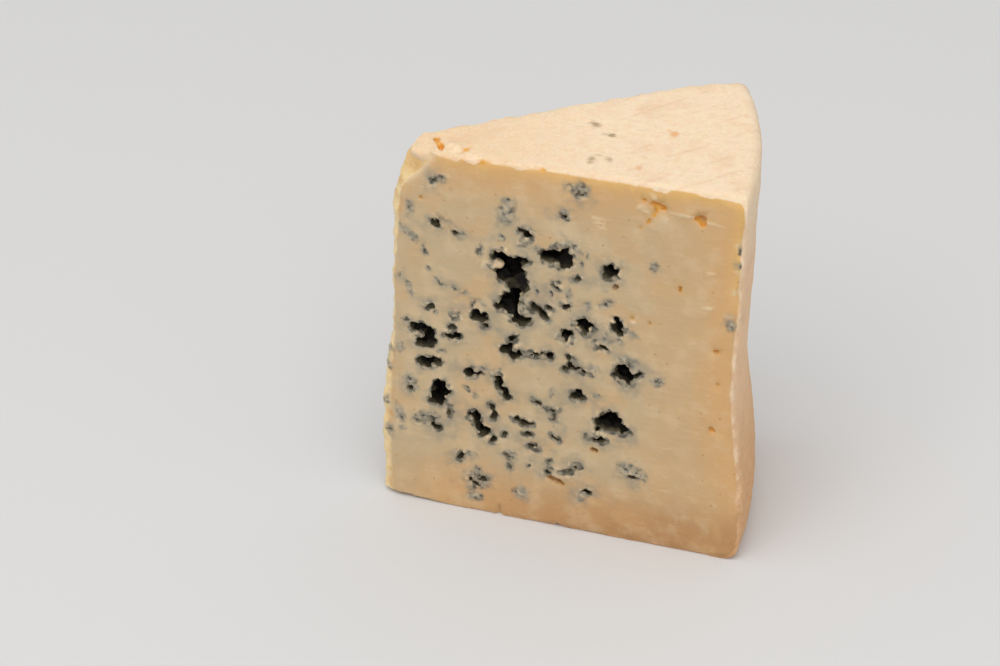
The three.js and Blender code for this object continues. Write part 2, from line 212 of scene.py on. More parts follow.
# A row is distance along the cut, height, width, height across, tilt in degrees and depth, with all
# lengths in millimetres.
FRONT_EYES = [
    # the cave left of the middle, its passage and its lower room
    (38.8, 78.3, 6.4, 7.2, 0, 6), (37.6, 81.4, 3, 4.2, 10, 4.5), (42.4, 81.1, 4.6, 2.2, 8, 4),
    (41.9, 74, 4.2, 9.6, 4, 1.7), (40.4, 67.4, 4.6, 5.8, 0, 5), (37.8, 66.3, 3.2, 2.2, 12, 4),
    (42.9, 63.5, 4.8, 3.4, 10, 4.5),
    # its trail to the right
    (46.6, 67.9, 2.6, 1.8, -20, 1.6), (48.7, 66.2, 3, 2, -35, 1.8), (50.8, 68.5, 1.6, 1.2, 0, 1),
    # the wing and the small eyes above and beside it
    (50.6, 83.8, 4.8, 2.8, 12, 4.5), (53.7, 84.6, 4.6, 5.8, 12, 2.2), (44.7, 89, 2.1, 3, 0, 2.6),
    (43.4, 87.2, 1, 2.6, -25, 1.4), (43, 90.3, 1.6, 0.9, 0, 1.2), (66.4, 82.7, 3.4, 3.2, 0, 3.4),
    (65.4, 81.5, 1.6, 1.8, 0, 2), (52.4, 75.4, 1.8, 1.1, 0, 1.3), (57.7, 79, 1.8, 1, 20, 1.2),
    (54.7, 69.9, 2.1, 1.5, 20, 1.5), (54.2, 97.1, 2, 1, -20, 1.3), (20.4, 100.8, 1.7, 0.9, 30, 1),
    # the pair and the single eyes right of the middle
    (59.8, 65.1, 4.4, 3.4, -25, 4), (58.2, 65.3, 2.2, 1.3, 0, 3), (60.5, 63.1, 1.9, 1.8, 0, 3),
    (55.2, 60.8, 2.7, 3.4, 0, 3.4), (53.7, 60, 2.2, 1.1, 10, 2.4), (68.6, 66.1, 2.8, 3.4, 15, 2.6),
    (67.7, 68.5, 1.3, 1.8, 15, 2.2), (65, 59.4, 2.2, 1.3, -25, 1.5), (62.6, 59.6, 0.9, 1.6, 20, 0.9),
    # the row across the middle
    (39.3, 53.2, 3.4, 2, 18, 3), (41.6, 52.2, 3.6, 2.4, 28, 3), (40.2, 55.6, 1.3, 3.4, 0, 2.2),
    (41.2, 57.4, 1.3, 1.8, -35, 1.2), (46.3, 53.3, 2.4, 1.6, 10, 1.8), (50, 53.8, 2.8, 2.1, -10, 2.2),
    (48.2, 53.6, 2, 0.8, 0, 1), (57, 51.8, 3, 2.1, 0, 2.6), (55, 50.7, 2.6, 0.9, 10, 1.6),
    (60, 50.7, 3.6, 0.8, -14, 1.4), (55.7, 54.4, 1.1, 1.7, -30, 1), (70.4, 52.7, 4.5, 5.4, 0, 4.6),
    (73.8, 52.7, 2.6, 1.2, 48, 3), (71.3, 50, 2.4, 1.8, 0, 4), (70.6, 55.4, 2, 1.4, 0, 2.4),
    # the left side, from the top down
    (20.8, 88, 2.6, 1.6, 10, 1.5), (19.6, 88.7, 0.8, 1.3, 0, 1), (26, 86.3, 1.8, 0.9, 20, 1.2),
    (31.9, 61.7, 3.9, 2.5, -8, 2.8), (33.6, 59.2, 1.3, 1.1, 30, 1.1), (25.5, 60.7, 2.5, 1.4, 0, 1.8),
    (25.2, 54.2, 2.4, 2.1, 0, 2.2), (23.4, 54.1, 2.2, 0.9, 10, 1.4), (24.6, 57, 1.6, 1.1, 30, 1.1),
    (16.2, 54.6, 5, 2.8, -8, 2.7), (18.4, 52.4, 2.8, 5.4, 0, 2.8), (17, 50.4, 4, 1.7, 5, 2.4),
    (17.6, 44.6, 3.4, 2.5, 15, 2.6), (20.4, 45.4, 1.8, 1.9, 0, 1.6), (18.4, 62.1, 1.9, 1, 10, 1),
    (21.7, 36.6, 3.9, 4.6, -10, 3.9), (20.8, 33.4, 4.3, 2.9, 10, 3.7), (23.9, 30.4, 0.9, 3, -8, 1.2),
    (13.3, 35.3, 1.3, 1.2, 0, 1), (18.6, 26.6, 1.2, 1.9, 25, 1.4), (20.2, 24.8, 2.1, 1.5, -30, 1.6),
    (16.2, 26, 2.4, 0.6, 25, 0.8),
    # the lower middle
    (30.1, 43.6, 3.2, 2.1, 0, 2.4), (31.7, 44, 1.8, 0.9, 10, 1.6), (37.1, 43.2, 1.9, 4.2, 5, 3),
    (38.7, 39.6, 1.8, 4.2, 28, 3), (30.6, 30.3, 2.9, 2.8, 0, 3), (31.6, 28, 1.8, 3.6, 20, 2.2),
    (33, 25.8, 3.4, 2, 28, 2.8), (35.6, 24, 1.1, 2, -35, 1.4), (35.4, 34, 0.9, 3, 28, 1.2),
    (35.8, 31.6, 1, 2.4, -28, 1.2), (38.5, 26.4, 1, 1.6, -20, 1), (41.7, 31.9, 2.6, 0.9, -12, 1.2),
    (43.9, 31.1, 2.2, 1.5, -15, 1.6), (45.8, 31.3, 2, 0.9, 10, 1.2), (45, 27.8, 2.2, 1.2, -15, 1.6),
    (46.7, 24.1, 2.8, 1.4, -8, 1.8), (50.8, 20.6, 1.2, 1.1, 0, 0.9), (52.3, 28.3, 3.1, 1, -35, 1.6),
    (39.6, 19.5, 2.2, 0.9, 0, 1.2), (26.8, 16.7, 1.1, 2.8, -32, 1.2), (32.6, 10.6, 2, 1.2, 20, 1),
    (29.4, 9.9, 0.9, 1.9, -25, 0.8), (31.2, 8.6, 1.8, 1.2, 0, 0.8), (47.6, 38.2, 2.6, 0.9, -28, 1),
    (51.9, 37.1, 2.8, 0.9, 5, 1.1), (51.9, 34.4, 0.9, 2.4, 5, 0.9),
    # the lower right
    (58.2, 43.2, 3, 2.5, -20, 2.6), (57.2, 42, 1.4, 1.1, 0, 1.4), (67, 36, 6.4, 3.8, 0, 4.6),
    (66.8, 38.1, 2.8, 2.6, 0, 4), (70.2, 35, 3.4, 2.4, -25, 4), (64.2, 36, 2.4, 3, 0, 4),
    (64.2, 30.5, 3.6, 1.7, 10, 2.4), (61.6, 30.7, 1.8, 1, 0, 1.8), (63.4, 32.6, 1.3, 2.4, 0, 1.8),
    (57.9, 20.4, 2.4, 1.1, 25, 1.8), (56.3, 18.6, 1.6, 0.9, 45, 1.4), (53.5, 18, 3.2, 0.6, 0, 1),
    (50.5, 17.2, 0.9, 2.2, -35, 1.2), (60.5, 12.8, 1.9, 1.5, 20, 1.8), (59.4, 11.2, 0.8, 2.3, -25, 0.9),
    (73, 20.6, 1.5, 1.1, 0, 1.2), (58.6, 104, 1.9, 0.9, 25, 1.2),
]
REAR_EYES = 22
REAR_START = (0.5, 0.5)
REAR_REACH = (16, 78)
REAR_UP = (14, 98)
REAR_STRAY = 9
REAR_WIDTHS = (8.4, 3, 5.2, 3.6, 6.6, 3.2)
REAR_FLATNESS = (0.5, 1.1)
REAR_TILT = (-40, 40)
REAR_DEPTH = 0.55
REAR_DEEPEST = 0.07
REAR_LOBES = 2
REAR_LOBE_SHARE = (0.3, 0.6)
REAR_LOBE_FLATNESS = (0.4, 1)
REAR_LOBE_DEPTH = 0.5
REAR_SMALL_EYES = 34
REAR_SMALL_START = (0.3, 0.9)
REAR_SMALL_WIDTHS = (1.5, 3.4)
REAR_SMALL_FLATNESS = (0.4, 1.3)
REAR_SMALL_DEPTH = 0.6
REAR_SEED = 2027
PLASTIC_RATIO = 1.3247
DRAW_FACTOR = 16807
DRAW_LIMIT = 2147483647
BALL_DETAIL = 4
EYE_SINK = 0.3
EYE_GROWTH = 1.16
EYE_DEPTH = 1.35
CURD_PRESS = 0.5
CURD_LEVEL = 0.4
FINEST_GRAIN = 1.1 * MM
CURD_GRAIN = 0.5
RAGGED_VOXEL = 0.22 * MM
RAGGED_GRAIN = 0.7 * MM
RAGGED_DEPTH = 0.4 * MM


def draws(seed):
    """A repeatable stream of numbers from 0 to 1."""
    state = seed
    while True:
        state = (state * DRAW_FACTOR) % DRAW_LIMIT
        yield state / DRAW_LIMIT


def between(low, high, share):
    """The value a share of the way from low to high."""
    return low + (high - low) * share


def spread(i, start, draw):
    """The place of one of many evenly spread over the rear cut, strayed by two draws."""
    along = between(*REAR_REACH, (start[0] + i / PLASTIC_RATIO) % 1) + REAR_STRAY * (next(draw) - 0.5)
    up = between(*REAR_UP, (start[1] + i / PLASTIC_RATIO**2) % 1) + REAR_STRAY * (next(draw) - 0.5)
    return along, up


def rear_rows():
    """The eyes of the rear cut: turned and stretched by draws, the larger ones with side lobes, and none
    so deep that it meets an eye of the front cut."""
    draw = draws(REAR_SEED)
    rows = []
    for i in range(REAR_EYES):
        along, up = spread(i, REAR_START, draw)
        deepest = REAR_DEEPEST * along
        wide = REAR_WIDTHS[i % len(REAR_WIDTHS)]
        high = wide * between(*REAR_FLATNESS, next(draw))
        tilt = between(*REAR_TILT, next(draw))
        rows.append((along, up, wide, high, tilt, min(REAR_DEPTH * wide, deepest)))
        for _ in range(REAR_LOBES):
            aside = math.tau * next(draw)
            size = wide * between(*REAR_LOBE_SHARE, next(draw))
            beside = (along + wide / 2 * math.cos(aside), up + high / 2 * math.sin(aside))
            tall = size * between(*REAR_LOBE_FLATNESS, next(draw))
            rows.append((*beside, size, tall, tilt, min(REAR_LOBE_DEPTH * size, deepest)))
    for i in range(REAR_SMALL_EYES):
        along, up = spread(i, REAR_SMALL_START, draw)
        wide = between(*REAR_SMALL_WIDTHS, next(draw))
        high = wide * between(*REAR_SMALL_FLATNESS, next(draw))
        tilt = between(*REAR_TILT, next(draw))
        rows.append((along, up, wide, high, tilt, min(REAR_SMALL_DEPTH * wide, REAR_DEEPEST * along)))
    return rows


def deeper(rows):
    """The same eyes with their depths taken to the bottom of the dark."""
    return [(*form, EYE_DEPTH * deep) for *form, deep in rows]


def apply(obj, kind, **settings):
    """Adds a modifier with its settings to an object and applies it."""
    bpy.ops.object.select_all(action="DESELECT")
    bpy.context.view_layer.objects.active = obj
    obj.select_set(True)
    modifier = obj.modifiers.new(kind.lower(), kind)
    for setting, value in settings.items():
        setattr(modifier, setting, value)
    bpy.ops.object.modifier_apply(modifier=modifier.name)


def relief(kind, grain, **settings):
    """A solid texture for the displace modifier, with the size of its grain."""
    texture = bpy.data.textures.new(kind.lower(), kind)
    texture.noise_scale = grain
    for setting, value in settings.items():
        setattr(texture, setting, value)
    return texture


def lobes(rows, side, sink, growth=1):
    """Adds a dented ball for each row on one cut, side -1 the front and 1 the rear, and joins them.
    Sink gives how deep a ball's middle lies from its depth."""
    along_cut, out = (FRONT_ALONG, FRONT_OUT) if side < 0 else (REAR_ALONG, REAR_OUT)
    balls = []
    for along, up, wide, high, tilt, deep in rows:
        bpy.ops.mesh.primitive_ico_sphere_add(
            subdivisions=BALL_DETAIL,
            radius=MM,
            location=AXIS + along * MM * along_cut - sink(deep) * MM * out + Vector((0, 0, up * MM)),
            rotation=(0, -math.radians(tilt), side * HALF_ANGLE),
            scale=(growth * wide / 2, deep, growth * high / 2),
        )
        bpy.ops.object.transform_apply(location=True, rotation=True, scale=True)
        balls.append(bpy.context.object)
        size = min(wide, high) * MM
        grains = relief("VORONOI", max(FINEST_GRAIN, CURD_GRAIN * size))
        apply(balls[-1], "DISPLACE", texture=grains, strength=CURD_PRESS * size, mid_level=CURD_LEVEL)
    return joined(balls)


def joined(objects):
    """Joins objects into the first of them."""
    bpy.ops.object.select_all(action="DESELECT")
    for obj in objects:
        obj.select_set(True)
    bpy.context.view_layer.objects.active = objects[0]
    bpy.ops.object.join()
    return objects[0]


def ragged(obj):
    """Turns joined balls into one hollow with a ragged wall."""
    apply(obj, "REMESH", mode="VOXEL", voxel_size=RAGGED_VOXEL)
    apply(obj, "DISPLACE", texture=relief("CLOUDS", RAGGED_GRAIN), strength=RAGGED_DEPTH)
    return obj


def wall_of(obj):
    """A search tree of an object's surface."""
    return BVHTree.FromObject(obj, bpy.context.evaluated_depsgraph_get())


def carve(obj, cutter):
    """Cuts a hollow out of an object."""
    apply(obj, "BOOLEAN", operation="DIFFERENCE", solver="MANIFOLD", object=cutter)


bpy.ops.object.select_all(action="DESELECT")
rear_eyes = rear_rows()
eye_lobes = [
    lobes(deeper(rows), side, lambda deep: EYE_SINK * deep, EYE_GROWTH)
    for rows, side in ((FRONT_EYES, -1), (rear_eyes, 1))
]
eye_hollows = ragged(joined(eye_lobes))
eye_wall = wall_of(eye_hollows)
carve(wedge, eye_hollows)
bpy.data.objects.remove(eye_hollows)

# Clean pits and clefts in the paste, without mould: small gaps that show the deeper orange of the curd,
# the cracks in the top beside the nose and the nicks in the foot's edge. Rows are as for the eyes, and
# a cleft in the top is distance from the axis, sideways, length, width, turn in degrees and depth.
PITS = [
    # the cleft under the top edge and its leg, and the three-cornered gap right of it
    (74.6, 105.9, 1.5, 0.9, -20, 0.9), (77.6, 105.1, 3.4, 1.1, -8, 1.3), (79.3, 104.4, 1.7, 1.3, 0, 1.3),
    (77.4, 102.8, 0.95, 3.6, -18, 0.9), (76, 100.1, 0.85, 3.2, -28, 0.7), (73.8, 97.6, 1.1, 0.9, 10, 0.7),
    (89.3, 102.9, 1.7, 2.4, 10, 1.7), (87.2, 102.9, 3, 1.2, 8, 1.2), (89.5, 101.1, 0.9, 1.7, 0, 1.3),
    # the right side and the lower middle
    (93.5, 40.3, 1.5, 1.8, 10, 1), (94, 64.2, 1.2, 1.4, 20, 1), (91.9, 74.4, 0.9, 0.8, 0, 0.7),
    (79.9, 46, 1.3, 0.9, 10, 1), (76.5, 69.4, 0.9, 0.8, 0, 0.8),
    (71.9, 69.9, 1.1, 1, 0, 1), (67.6, 78.2, 1.1, 1.6, -15, 1), (84.2, 81.4, 0.9, 2, -10, 0.8),
    (62.7, 26.6, 1.9, 1.2, -10, 1.2), (52.4, 14.7, 4.8, 1.3, -16, 0.8), (48.2, 20.8, 2.4, 0.5, -8, 0.6),
    (66, 17.5, 1.1, 0.9, 0, 0.5), (94.6, 54.6, 1, 0.8, 0, 0.6), (81, 62.4, 0.7, 0.7, 0, 0.5),
    (71.6, 27.3, 0.7, 0.7, 0, 0.5),
    # the upper left
    (47.4, 103.9, 1.2, 0.7, -20, 0.7), (16.8, 94.9, 1.4, 1.1, 20, 0.8), (22.8, 74.6, 0.8, 0.8, 0, 0.6),
    (19.7, 97.6, 1, 1, 0, 0.7), (32.8, 108.2, 1.6, 1, 0, 0.8), (48.2, 109.3, 1.8, 0.9, 0, 0.8),
]
CHIPS = [(37.3, 1, 1.3, 4.6, 0, 1.1), (53.4, 0, 2.6, 1.8, 0, 1)]
TOP_CLEFTS = [
    (20.6, -1.1, 11, 1, 106, 1.6), (21, -1.3, 3, 1.5, 112, 1.8), (27.5, -3.4, 2, 1.1, 10, 1),
    (32.2, -9.2, 2.6, 1.2, -16, 0.9),
]
CLEFT_GRAIN = 1.4 * MM
CLEFT_PRESS = 1.2
TOP_SLOPE = (RIM_HEIGHT - CENTRE_HEIGHT) / WHEEL_RADIUS


def on_top(outward, sideways, deep):
    """The place at a depth under the top, from its distances from the axis, all in millimetres."""
    return AXIS + Vector((outward, sideways, CENTRE_HEIGHT / MM + TOP_SLOPE * outward - deep)) * MM


pit_hollows = ragged(lobes(PITS, -1, lambda deep: EYE_SINK * deep, EYE_GROWTH))
pit_wall = wall_of(pit_hollows)
clefts = []
for outward, sideways, long, wide, turn, deep in TOP_CLEFTS:
    bpy.ops.mesh.primitive_ico_sphere_add(
        subdivisions=BALL_DETAIL,
        radius=MM,
        location=on_top(outward, sideways, 0),
        rotation=(0, 0, math.radians(turn)),
        scale=(long / 2, wide / 2, deep),
    )
    bpy.ops.object.transform_apply(location=True, rotation=True, scale=True)
    clefts.append(bpy.context.object)
    apply(clefts[-1], "DISPLACE", texture=relief("CLOUDS", CLEFT_GRAIN), strength=CLEFT_PRESS * wide * MM)
top_clefts = ragged(joined(clefts))
cleft_wall = wall_of(top_clefts)
chips = lobes(CHIPS, -1, lambda deep: 0)
for cutter in (pit_hollows, top_clefts, chips):
    carve(wedge, cutter)
bpy.data.objects.remove(pit_hollows)
bpy.data.objects.remove(chips)

# Curd grains that stand free: pale bumps and flaps that the wire left in the eyes, and the crumbs that
# hold on round the broken top corner. A crumb is distance from the axis, sideways, size and the share
# of its size that its middle lies under the top.
GRAINS = [
    (43.8, 66.3, 3.2, 3.2, 0, 1.6), (44.2, 69.3, 2.6, 2.4, 0, 1.3), (42.1, 55.5, 3, 3.2, 0, 1.6),
    (15, 52.1, 5, 1.7, 25, 1.2), (54.2, 88.3, 1.8, 1.5, 0, 0.9), (53.8, 16.6, 5.4, 1.9, 0, 1),
    (17.1, 26.4, 2.6, 1.2, 25, 0.8), (65.1, 85, 1.9, 1.5, 20, 0.9), (72.4, 68.5, 1.7, 1.4, 20, 0.8),
    (23.8, 55.5, 2.8, 1, 15, 0.7), (64.4, 71.5, 3.6, 0.9, 14, 0.6),
    (80.2, 101.2, 0.9, 1.7, -25, 0.6), (73.8, 103.7, 1.8, 1.2, 20, 0.6),
    (84.4, 103.4, 6.6, 0.7, -4, 0.5), (92, 102.4, 4.4, 0.6, -6, 0.5), (77.2, 107.3, 1.4, 1, -30, 0.6),
    (75.2, 102.7, 1.4, 1, -30, 0.6), (91.9, 87.6, 2.2, 0.8, 15, 0.5), (91.4, 77, 2.4, 0.8, 10, 0.5),
    (98.6, 97.4, 1.7, 1.1, 30, 0.6), (98.7, 89.6, 1.4, 1, 10, 0.6), (97, 75.6, 1.6, 1, 25, 0.6),
    (98.3, 83.2, 1, 1.8, 0, 0.5), (62.5, 98.1, 2.6, 0.5, -10, 0.4), (63.3, 96.9, 2.8, 0.5, -8, 0.4),
    (63.9, 95.7, 2.2, 0.5, -12, 0.4),
    (20.2, 99.6, 2, 1.2, 30, 0.6), (23, 102.6, 2.2, 1.2, 20, 0.6),
]
GRAIN_PROUD = 0.25
LIPS_PER_EYE = 2
LIP_LEAST_DEPTH = 1.7
LIP_SHARE = (0.25, 0.5)
LIP_LEAST_SIZE = 1.1
LIP_STRETCH = (1, 1.7)
LIP_OUT = 1.2
LIP_SEED = 411
CORNER_CRUMBS = [
    (17.7, -0.6, 8.6, 0.23), (24.5, -2.7, 4.9, 0.14), (29.4, -6.3, 4.4, 0.16), (20.2, -4.2, 2.2, 0.15),
]
CRUMB_FORM = (1, 0.85, 0.5)
CRUMB_GRAIN = 2.4 * MM
CRUMB_PRESS = 1 * MM


def within(across, over, row):
    """Whether a place on a cut lies in an eye."""
    along, up, wide, high, *_ = row
    return math.hypot((across - along) / wide, (over - up) / high) < EYE_GROWTH / 2


def lips(rows, seed):
    """Curd grains that overhang the rims of the deeper eyes, at drawn places and sizes."""
    draw = draws(seed)
    grown = []
    for row in rows:
        along, up, wide, high, _, deep = row
        for _ in range(LIPS_PER_EYE if deep > LIP_LEAST_DEPTH else 0):
            aside = math.tau * next(draw)
            size = max(LIP_LEAST_SIZE, min(wide, high) * between(*LIP_SHARE, next(draw)))
            stretch = between(*LIP_STRETCH, next(draw))
            across = along + LIP_OUT * wide / 2 * math.cos(aside)
            over = up + LIP_OUT * high / 2 * math.sin(aside)
            if not any(within(across, over, other) for other in rows if other is not row):
                grown.append((across, over, size * stretch, size, math.degrees(aside), size / 2))
    return grown


grains = joined([
    lobes(GRAINS + lips(FRONT_EYES, LIP_SEED), -1, lambda deep: deep - GRAIN_PROUD),
    lobes(lips(rear_eyes, LIP_SEED), 1, lambda deep: deep - GRAIN_PROUD),
])
grain_wall = wall_of(grains)
crumbs = []
for along, sideways, size, sink in CORNER_CRUMBS:
    bpy.ops.mesh.primitive_ico_sphere_add(
        subdivisions=BALL_DETAIL,
        radius=size / 2 * MM,
        location=on_top(along, sideways, sink * size),
        scale=CRUMB_FORM,
    )
    bpy.ops.object.transform_apply(location=True, rotation=True, scale=True)
    crumbs.append(bpy.context.object)
    pressed = relief("VORONOI", CRUMB_GRAIN)
    apply(crumbs[-1], "DISPLACE", texture=pressed, strength=CRUMB_PRESS, mid_level=CURD_LEVEL)
    carve(crumbs[-1], top_clefts)
bpy.data.objects.remove(top_clefts)
crumb_heap = joined(crumbs)
crumb_wall = wall_of(crumb_heap)
joined([wedge, grains, crumb_heap])

# The skin of the wedge: one closed surface, fine enough for the rims of the eyes, that keeps at each
# point where the mould, the rind and the wear lie. The slow wander of the wire, the pressed curd and the
# crumbling round the eyes are relief in it.
VOXEL = 0.42 * MM
TRIANGLES = 190000
GROUP_STEPS = 10

# Reliefs: the size of their grain and their strength.
WANDER = (28 * MM, 1.1 * MM)
CURD_RELIEF = (5 * MM, 0.45 * MM)
RIM_CRUMBLE = (1.7 * MM, 1.7 * MM)
RIM_RANGE = (0.3, 0.7)
SPOT_CRUMBLE = (1.2 * MM, 1.5 * MM)
SPOT_RANGE = (0.25, 0.75)
NOSE_RELIEF = (4 * MM, 1.6 * MM)

# Wear of the edges: the least and the largest radius in millimetres, between which it wanders.
EDGE_GRAIN = 6 * MM
EDGE_RANGE = (0.35, 0.65)
TOP_EDGE_WEAR = (0.4, 1.6)
TIP_WEAR = (2.8, 3.6)
TOP_CORNER_WEAR = 2.4
TOP_CORNER_SPAN = (86, 99)
RIM_EDGE_WEAR = (1.2, 2.8)
FOOT_EDGE_WEAR = (0.3, 1)
CORNER_ROUND = 5
LEAST_LENGTH = 1e-9

# A spot is a patch of mould without a hollow: distance along the cut, height, width, height across and
# tilt in degrees. Those of the front cut and its rim lie where they were seen.
SPOTS = [
    (13.8, 91.3, 2, 4.4, 0), (20.8, 88.6, 4.2, 3.6, 10), (27.2, 86.4, 3.6, 2.6, 0),
    (32.1, 82.2, 1.8, 3.6, -10),
    (12.6, 84, 5.4, 1.6, -35), (14.4, 82.8, 2.4, 2.4, -30), (18.4, 74, 1.4, 1.4, 20),
    (17.6, 79, 1.6, 2.6, 20),
    (11.3, 70.2, 1.2, 1.8, 0), (13.6, 66.4, 1.4, 4, 15), (20.8, 70.6, 1, 2.6, 30), (22.6, 69.4, 2.6, 1, -15),
    (25.4, 69.1, 2.2, 1.4, 0), (28.3, 68.2, 1.2, 1.2, 0), (18.4, 62.4, 3, 2.2, 10), (20.2, 60.6, 1.2, 1.2, 0),
    (33, 65.9, 1.6, 1.6, 0), (30.2, 65, 1, 2.6, -20), (12.6, 56.8, 2.6, 2.4, 30), (10.8, 48.3, 1.4, 3, 0),
    (7.8, 46.3, 2.4, 1.6, 20), (21.1, 48.8, 2, 1.2, 20), (13.3, 37.2, 3.2, 4.2, 0), (10.4, 26.8, 2, 5, 15),
    (11.1, 22.7, 2, 1.6, 0), (17.6, 27, 5.6, 3.6, 20), (28.9, 38.3, 1, 2.2, 20), (30.6, 36.5, 1.8, 1.2, 30),
    (46.4, 39, 2, 1.2, -25), (49, 37.4, 1.8, 1.2, -20), (51.6, 37, 2.8, 1, 5), (53.8, 37.5, 1.8, 1, 25),
    (52, 34.3, 0.9, 5, 5), (51.3, 42.2, 0.9, 1.3, 0), (63.2, 44, 2, 1.2, 30), (33.4, 46, 3.6, 0.8, -5),
    (36.8, 46, 2, 0.9, 20), (28.6, 17.8, 3.4, 1.6, 0), (31.2, 10.4, 6, 6.4, 0), (30.6, 4.8, 4, 2.6, 10),
    (40.2, 20.9, 3, 1.6, 0), (40, 16.4, 2.2, 3, 10), (42.6, 8.8, 4, 3, 0), (45.2, 17.8, 1.2, 1.6, -30),
    (72.6, 22, 6.8, 4.2, -25), (75.6, 21.2, 2.6, 2.4, -30), (57.4, 105.8, 6, 3.2, -5), (54, 98, 2.4, 2.6, 0),
    (39, 95, 3.6, 6.4, 0), (38.8, 98.2, 3, 2, 20), (47.4, 85.8, 2.2, 1.8, 0), (57.2, 88.2, 2.2, 2, 0),
    (58.9, 83.7, 1, 2, -20), (60.3, 86, 0.7, 2.4, -15), (38, 87, 2, 1.6, 0), (44.6, 91.2, 3.2, 1.6, 0),
    (52.4, 76.6, 3, 2, 0), (56.9, 78.6, 3, 1.4, 20), (47, 72.8, 1.2, 3.4, 5), (51, 72.6, 0.9, 4, 0),
    (55.7, 72.6, 1.4, 4.4, 10), (60.6, 71.8, 1.4, 2.4, 15), (65, 72.6, 4, 1.8, 20), (65.2, 62, 1.4, 4, 0),
    (62.8, 60.2, 1.4, 2.4, 20), (72.4, 65.2, 2.6, 1.6, -25), (69, 62.2, 1.6, 2, 10), (77.4, 86, 1.8, 3, 10),
    (79.2, 52.4, 3.4, 2.6, 20), (71.5, 57, 4, 1.6, 0), (50.6, 64.2, 2.4, 1, 20), (61.8, 52.2, 2.6, 2, 20),
    (7.3, 41.4, 1.6, 3.4, 0), (6.6, 30.2, 1.6, 2.6, 0), (7.5, 20.7, 1.8, 3, 0), (21.6, 101.6, 3.6, 2.2, 20),
]
RIM_SPOTS = [(99.4, 95.6, 1.5, 2.6, 0), (99.6, 91.4, 1.2, 1.8, 0), (97.6, 73.3, 1.9, 3.2, -10)]
REAR_SPOTS = 56
REAR_SPOT_START = (0.2, 0.7)
REAR_SPOT_SIZES = (1.2, 4.4)
REAR_SPOT_FLATNESS = (0.4, 1.6)
REAR_SPOT_SEED = 77
SPOT_DEPTH = 5 * MM
SPOT_RIM = (-0.2, 0.5)
SPOT_EDGE = (0.3, 0.85)
SMEAR = 2.5

# A mark on the top is distance from the axis, sideways, length, width, turn in degrees and strength.
TOP_STAINS = [
    (59.4, 6.6, 3.6, 1.7, -45, 0.75), (58.2, 7.6, 1.6, 1.2, 0, 0.5), (63.4, 1.4, 1.8, 1.6, 0, 1),
    (62.2, 1.9, 3, 2, -20, 0.55), (58.4, -9.4, 1.8, 3.6, -20, 0.7), (60.2, -7.6, 2.6, 1.3, -10, 0.5),
    (62.9, -10, 1.9, 3, 25, 0.55),
]
TOP_SORES = [(79.1, 1.5, 2, 2.2, -30, 1), (77.6, 3.6, 1.6, 1.4, 0, 0.5), (70.2, -13.6, 1.6, 2.4, 0, 0.6)]
MARK_DEPTH = 3
MARK_EDGE = (0.05, 0.3)

# How far from the walls of eyes, pits, grains and crumbs, in millimetres, a value starts and ends.
WALL_BLUR = 0.6 * MM
HAZE = (0.3, 6)
EYE_RIM = (0.1, 1.4)
EYE_WALL = (0.2, 0.55)
EYE_MOUTH = (0.1, 0.5)
PIT_WALL = (0.2, 0.5)
PIT_MOUTH = (0.05, 0.45)
PIT_REACH = 1
GRAIN_EDGE = (0.05, 0.3)
BARE_EDGE = (0.05, 0.35)
GRAIN_REACH = 1
LUMP_EDGE = (0.1, 0.4)
LUMP_REACH = 2
PALE_LUMPS_OUT = 22

# How far from the faces of the wedge, in millimetres, a value starts and ends. A line is given by the
# depth of its middle and its half width.
BESIDE_NOSE = (18, 26)
WORN_DEPTH = (0.4, 0.9)
WORN_CLEAR = (0.5, 2)
CREASE_LINE = (0.6, 0.4)
CREASE_CLEAR = 1
CREASE_PALE_UP = (96, 101)
# A painted shadow under the crumb lump at the nose's top: a line on the front cut between two heights.
LUMP_SHADOW_LINE = (1.7, 0.8)
LUMP_SHADOW_START = (90, 95)
LUMP_SHADOW_END = (103, 106)
EDGE_CUT = (0.6, 2.4)
EDGE_RIM = (0.8, 2)
OFF_FLOOR = (0, 3)
DEEPEST_PASTE = 40
DEEPEST_EYE = 10

apply(wedge, "REMESH", mode="VOXEL", voxel_size=VOXEL)
skin = wedge.data
places = np.empty(len(skin.vertices) * 3)
skin.vertices.foreach_get("co", places)
places = places.reshape(-1, 3)
from_axis = places - np.array(AXIS)
radius = np.hypot(from_axis[:, 0], from_axis[:, 1])
height = from_axis[:, 2]
up = height / MM
front_deep = -from_axis @ np.array(FRONT_OUT)
rear_deep = -from_axis @ np.array(REAR_OUT)
cut_deep = np.minimum(front_deep, rear_deep) / MM
top = CENTRE_HEIGHT + (RIM_HEIGHT - CENTRE_HEIGHT) * from_axis[:, 0] / WHEEL_RADIUS
under_top = (top - height) / MM
under_rim = (WHEEL_RADIUS + rim_offset(height) - radius) / MM


def shallower(first, second, rounding):
    """The lesser of two depths, rounded where both are small."""
    both = np.hypot(np.maximum(rounding - first, 0), np.maximum(rounding - second, 0))
    return np.where(np.maximum(first, second) < rounding, rounding - both, np.minimum(first, second))


def fade(low, high, value):
    """Eases from 1 at low to 0 at high."""
    return 1 - smoothstep(low, high, value)


def line(middle, half_width, value):
    """1 where a value is at the middle, and less on both sides of it."""
    return np.exp(-(((value - middle) / half_width) ** 2))


def keep(name, values):
    """Keeps one value for each point of the skin."""
    skin.attributes.new(name, "FLOAT", "POINT").data.foreach_set("value", values.astype(np.float32))


def gap(wall, limit):
    """Each point's distance outside a hollow's wall in millimetres, up to a limit, and 0 inside it."""
    gaps = np.full(len(places), float(limit))
    for i, place in enumerate(map(Vector, places)):
        foot, normal, _, distance = wall.find_nearest(place, limit * MM)
        if foot:
            outside = (place - foot).dot(normal) > 0 or distance > WALL_BLUR
            gaps[i] = distance / MM if outside else 0
    return gaps


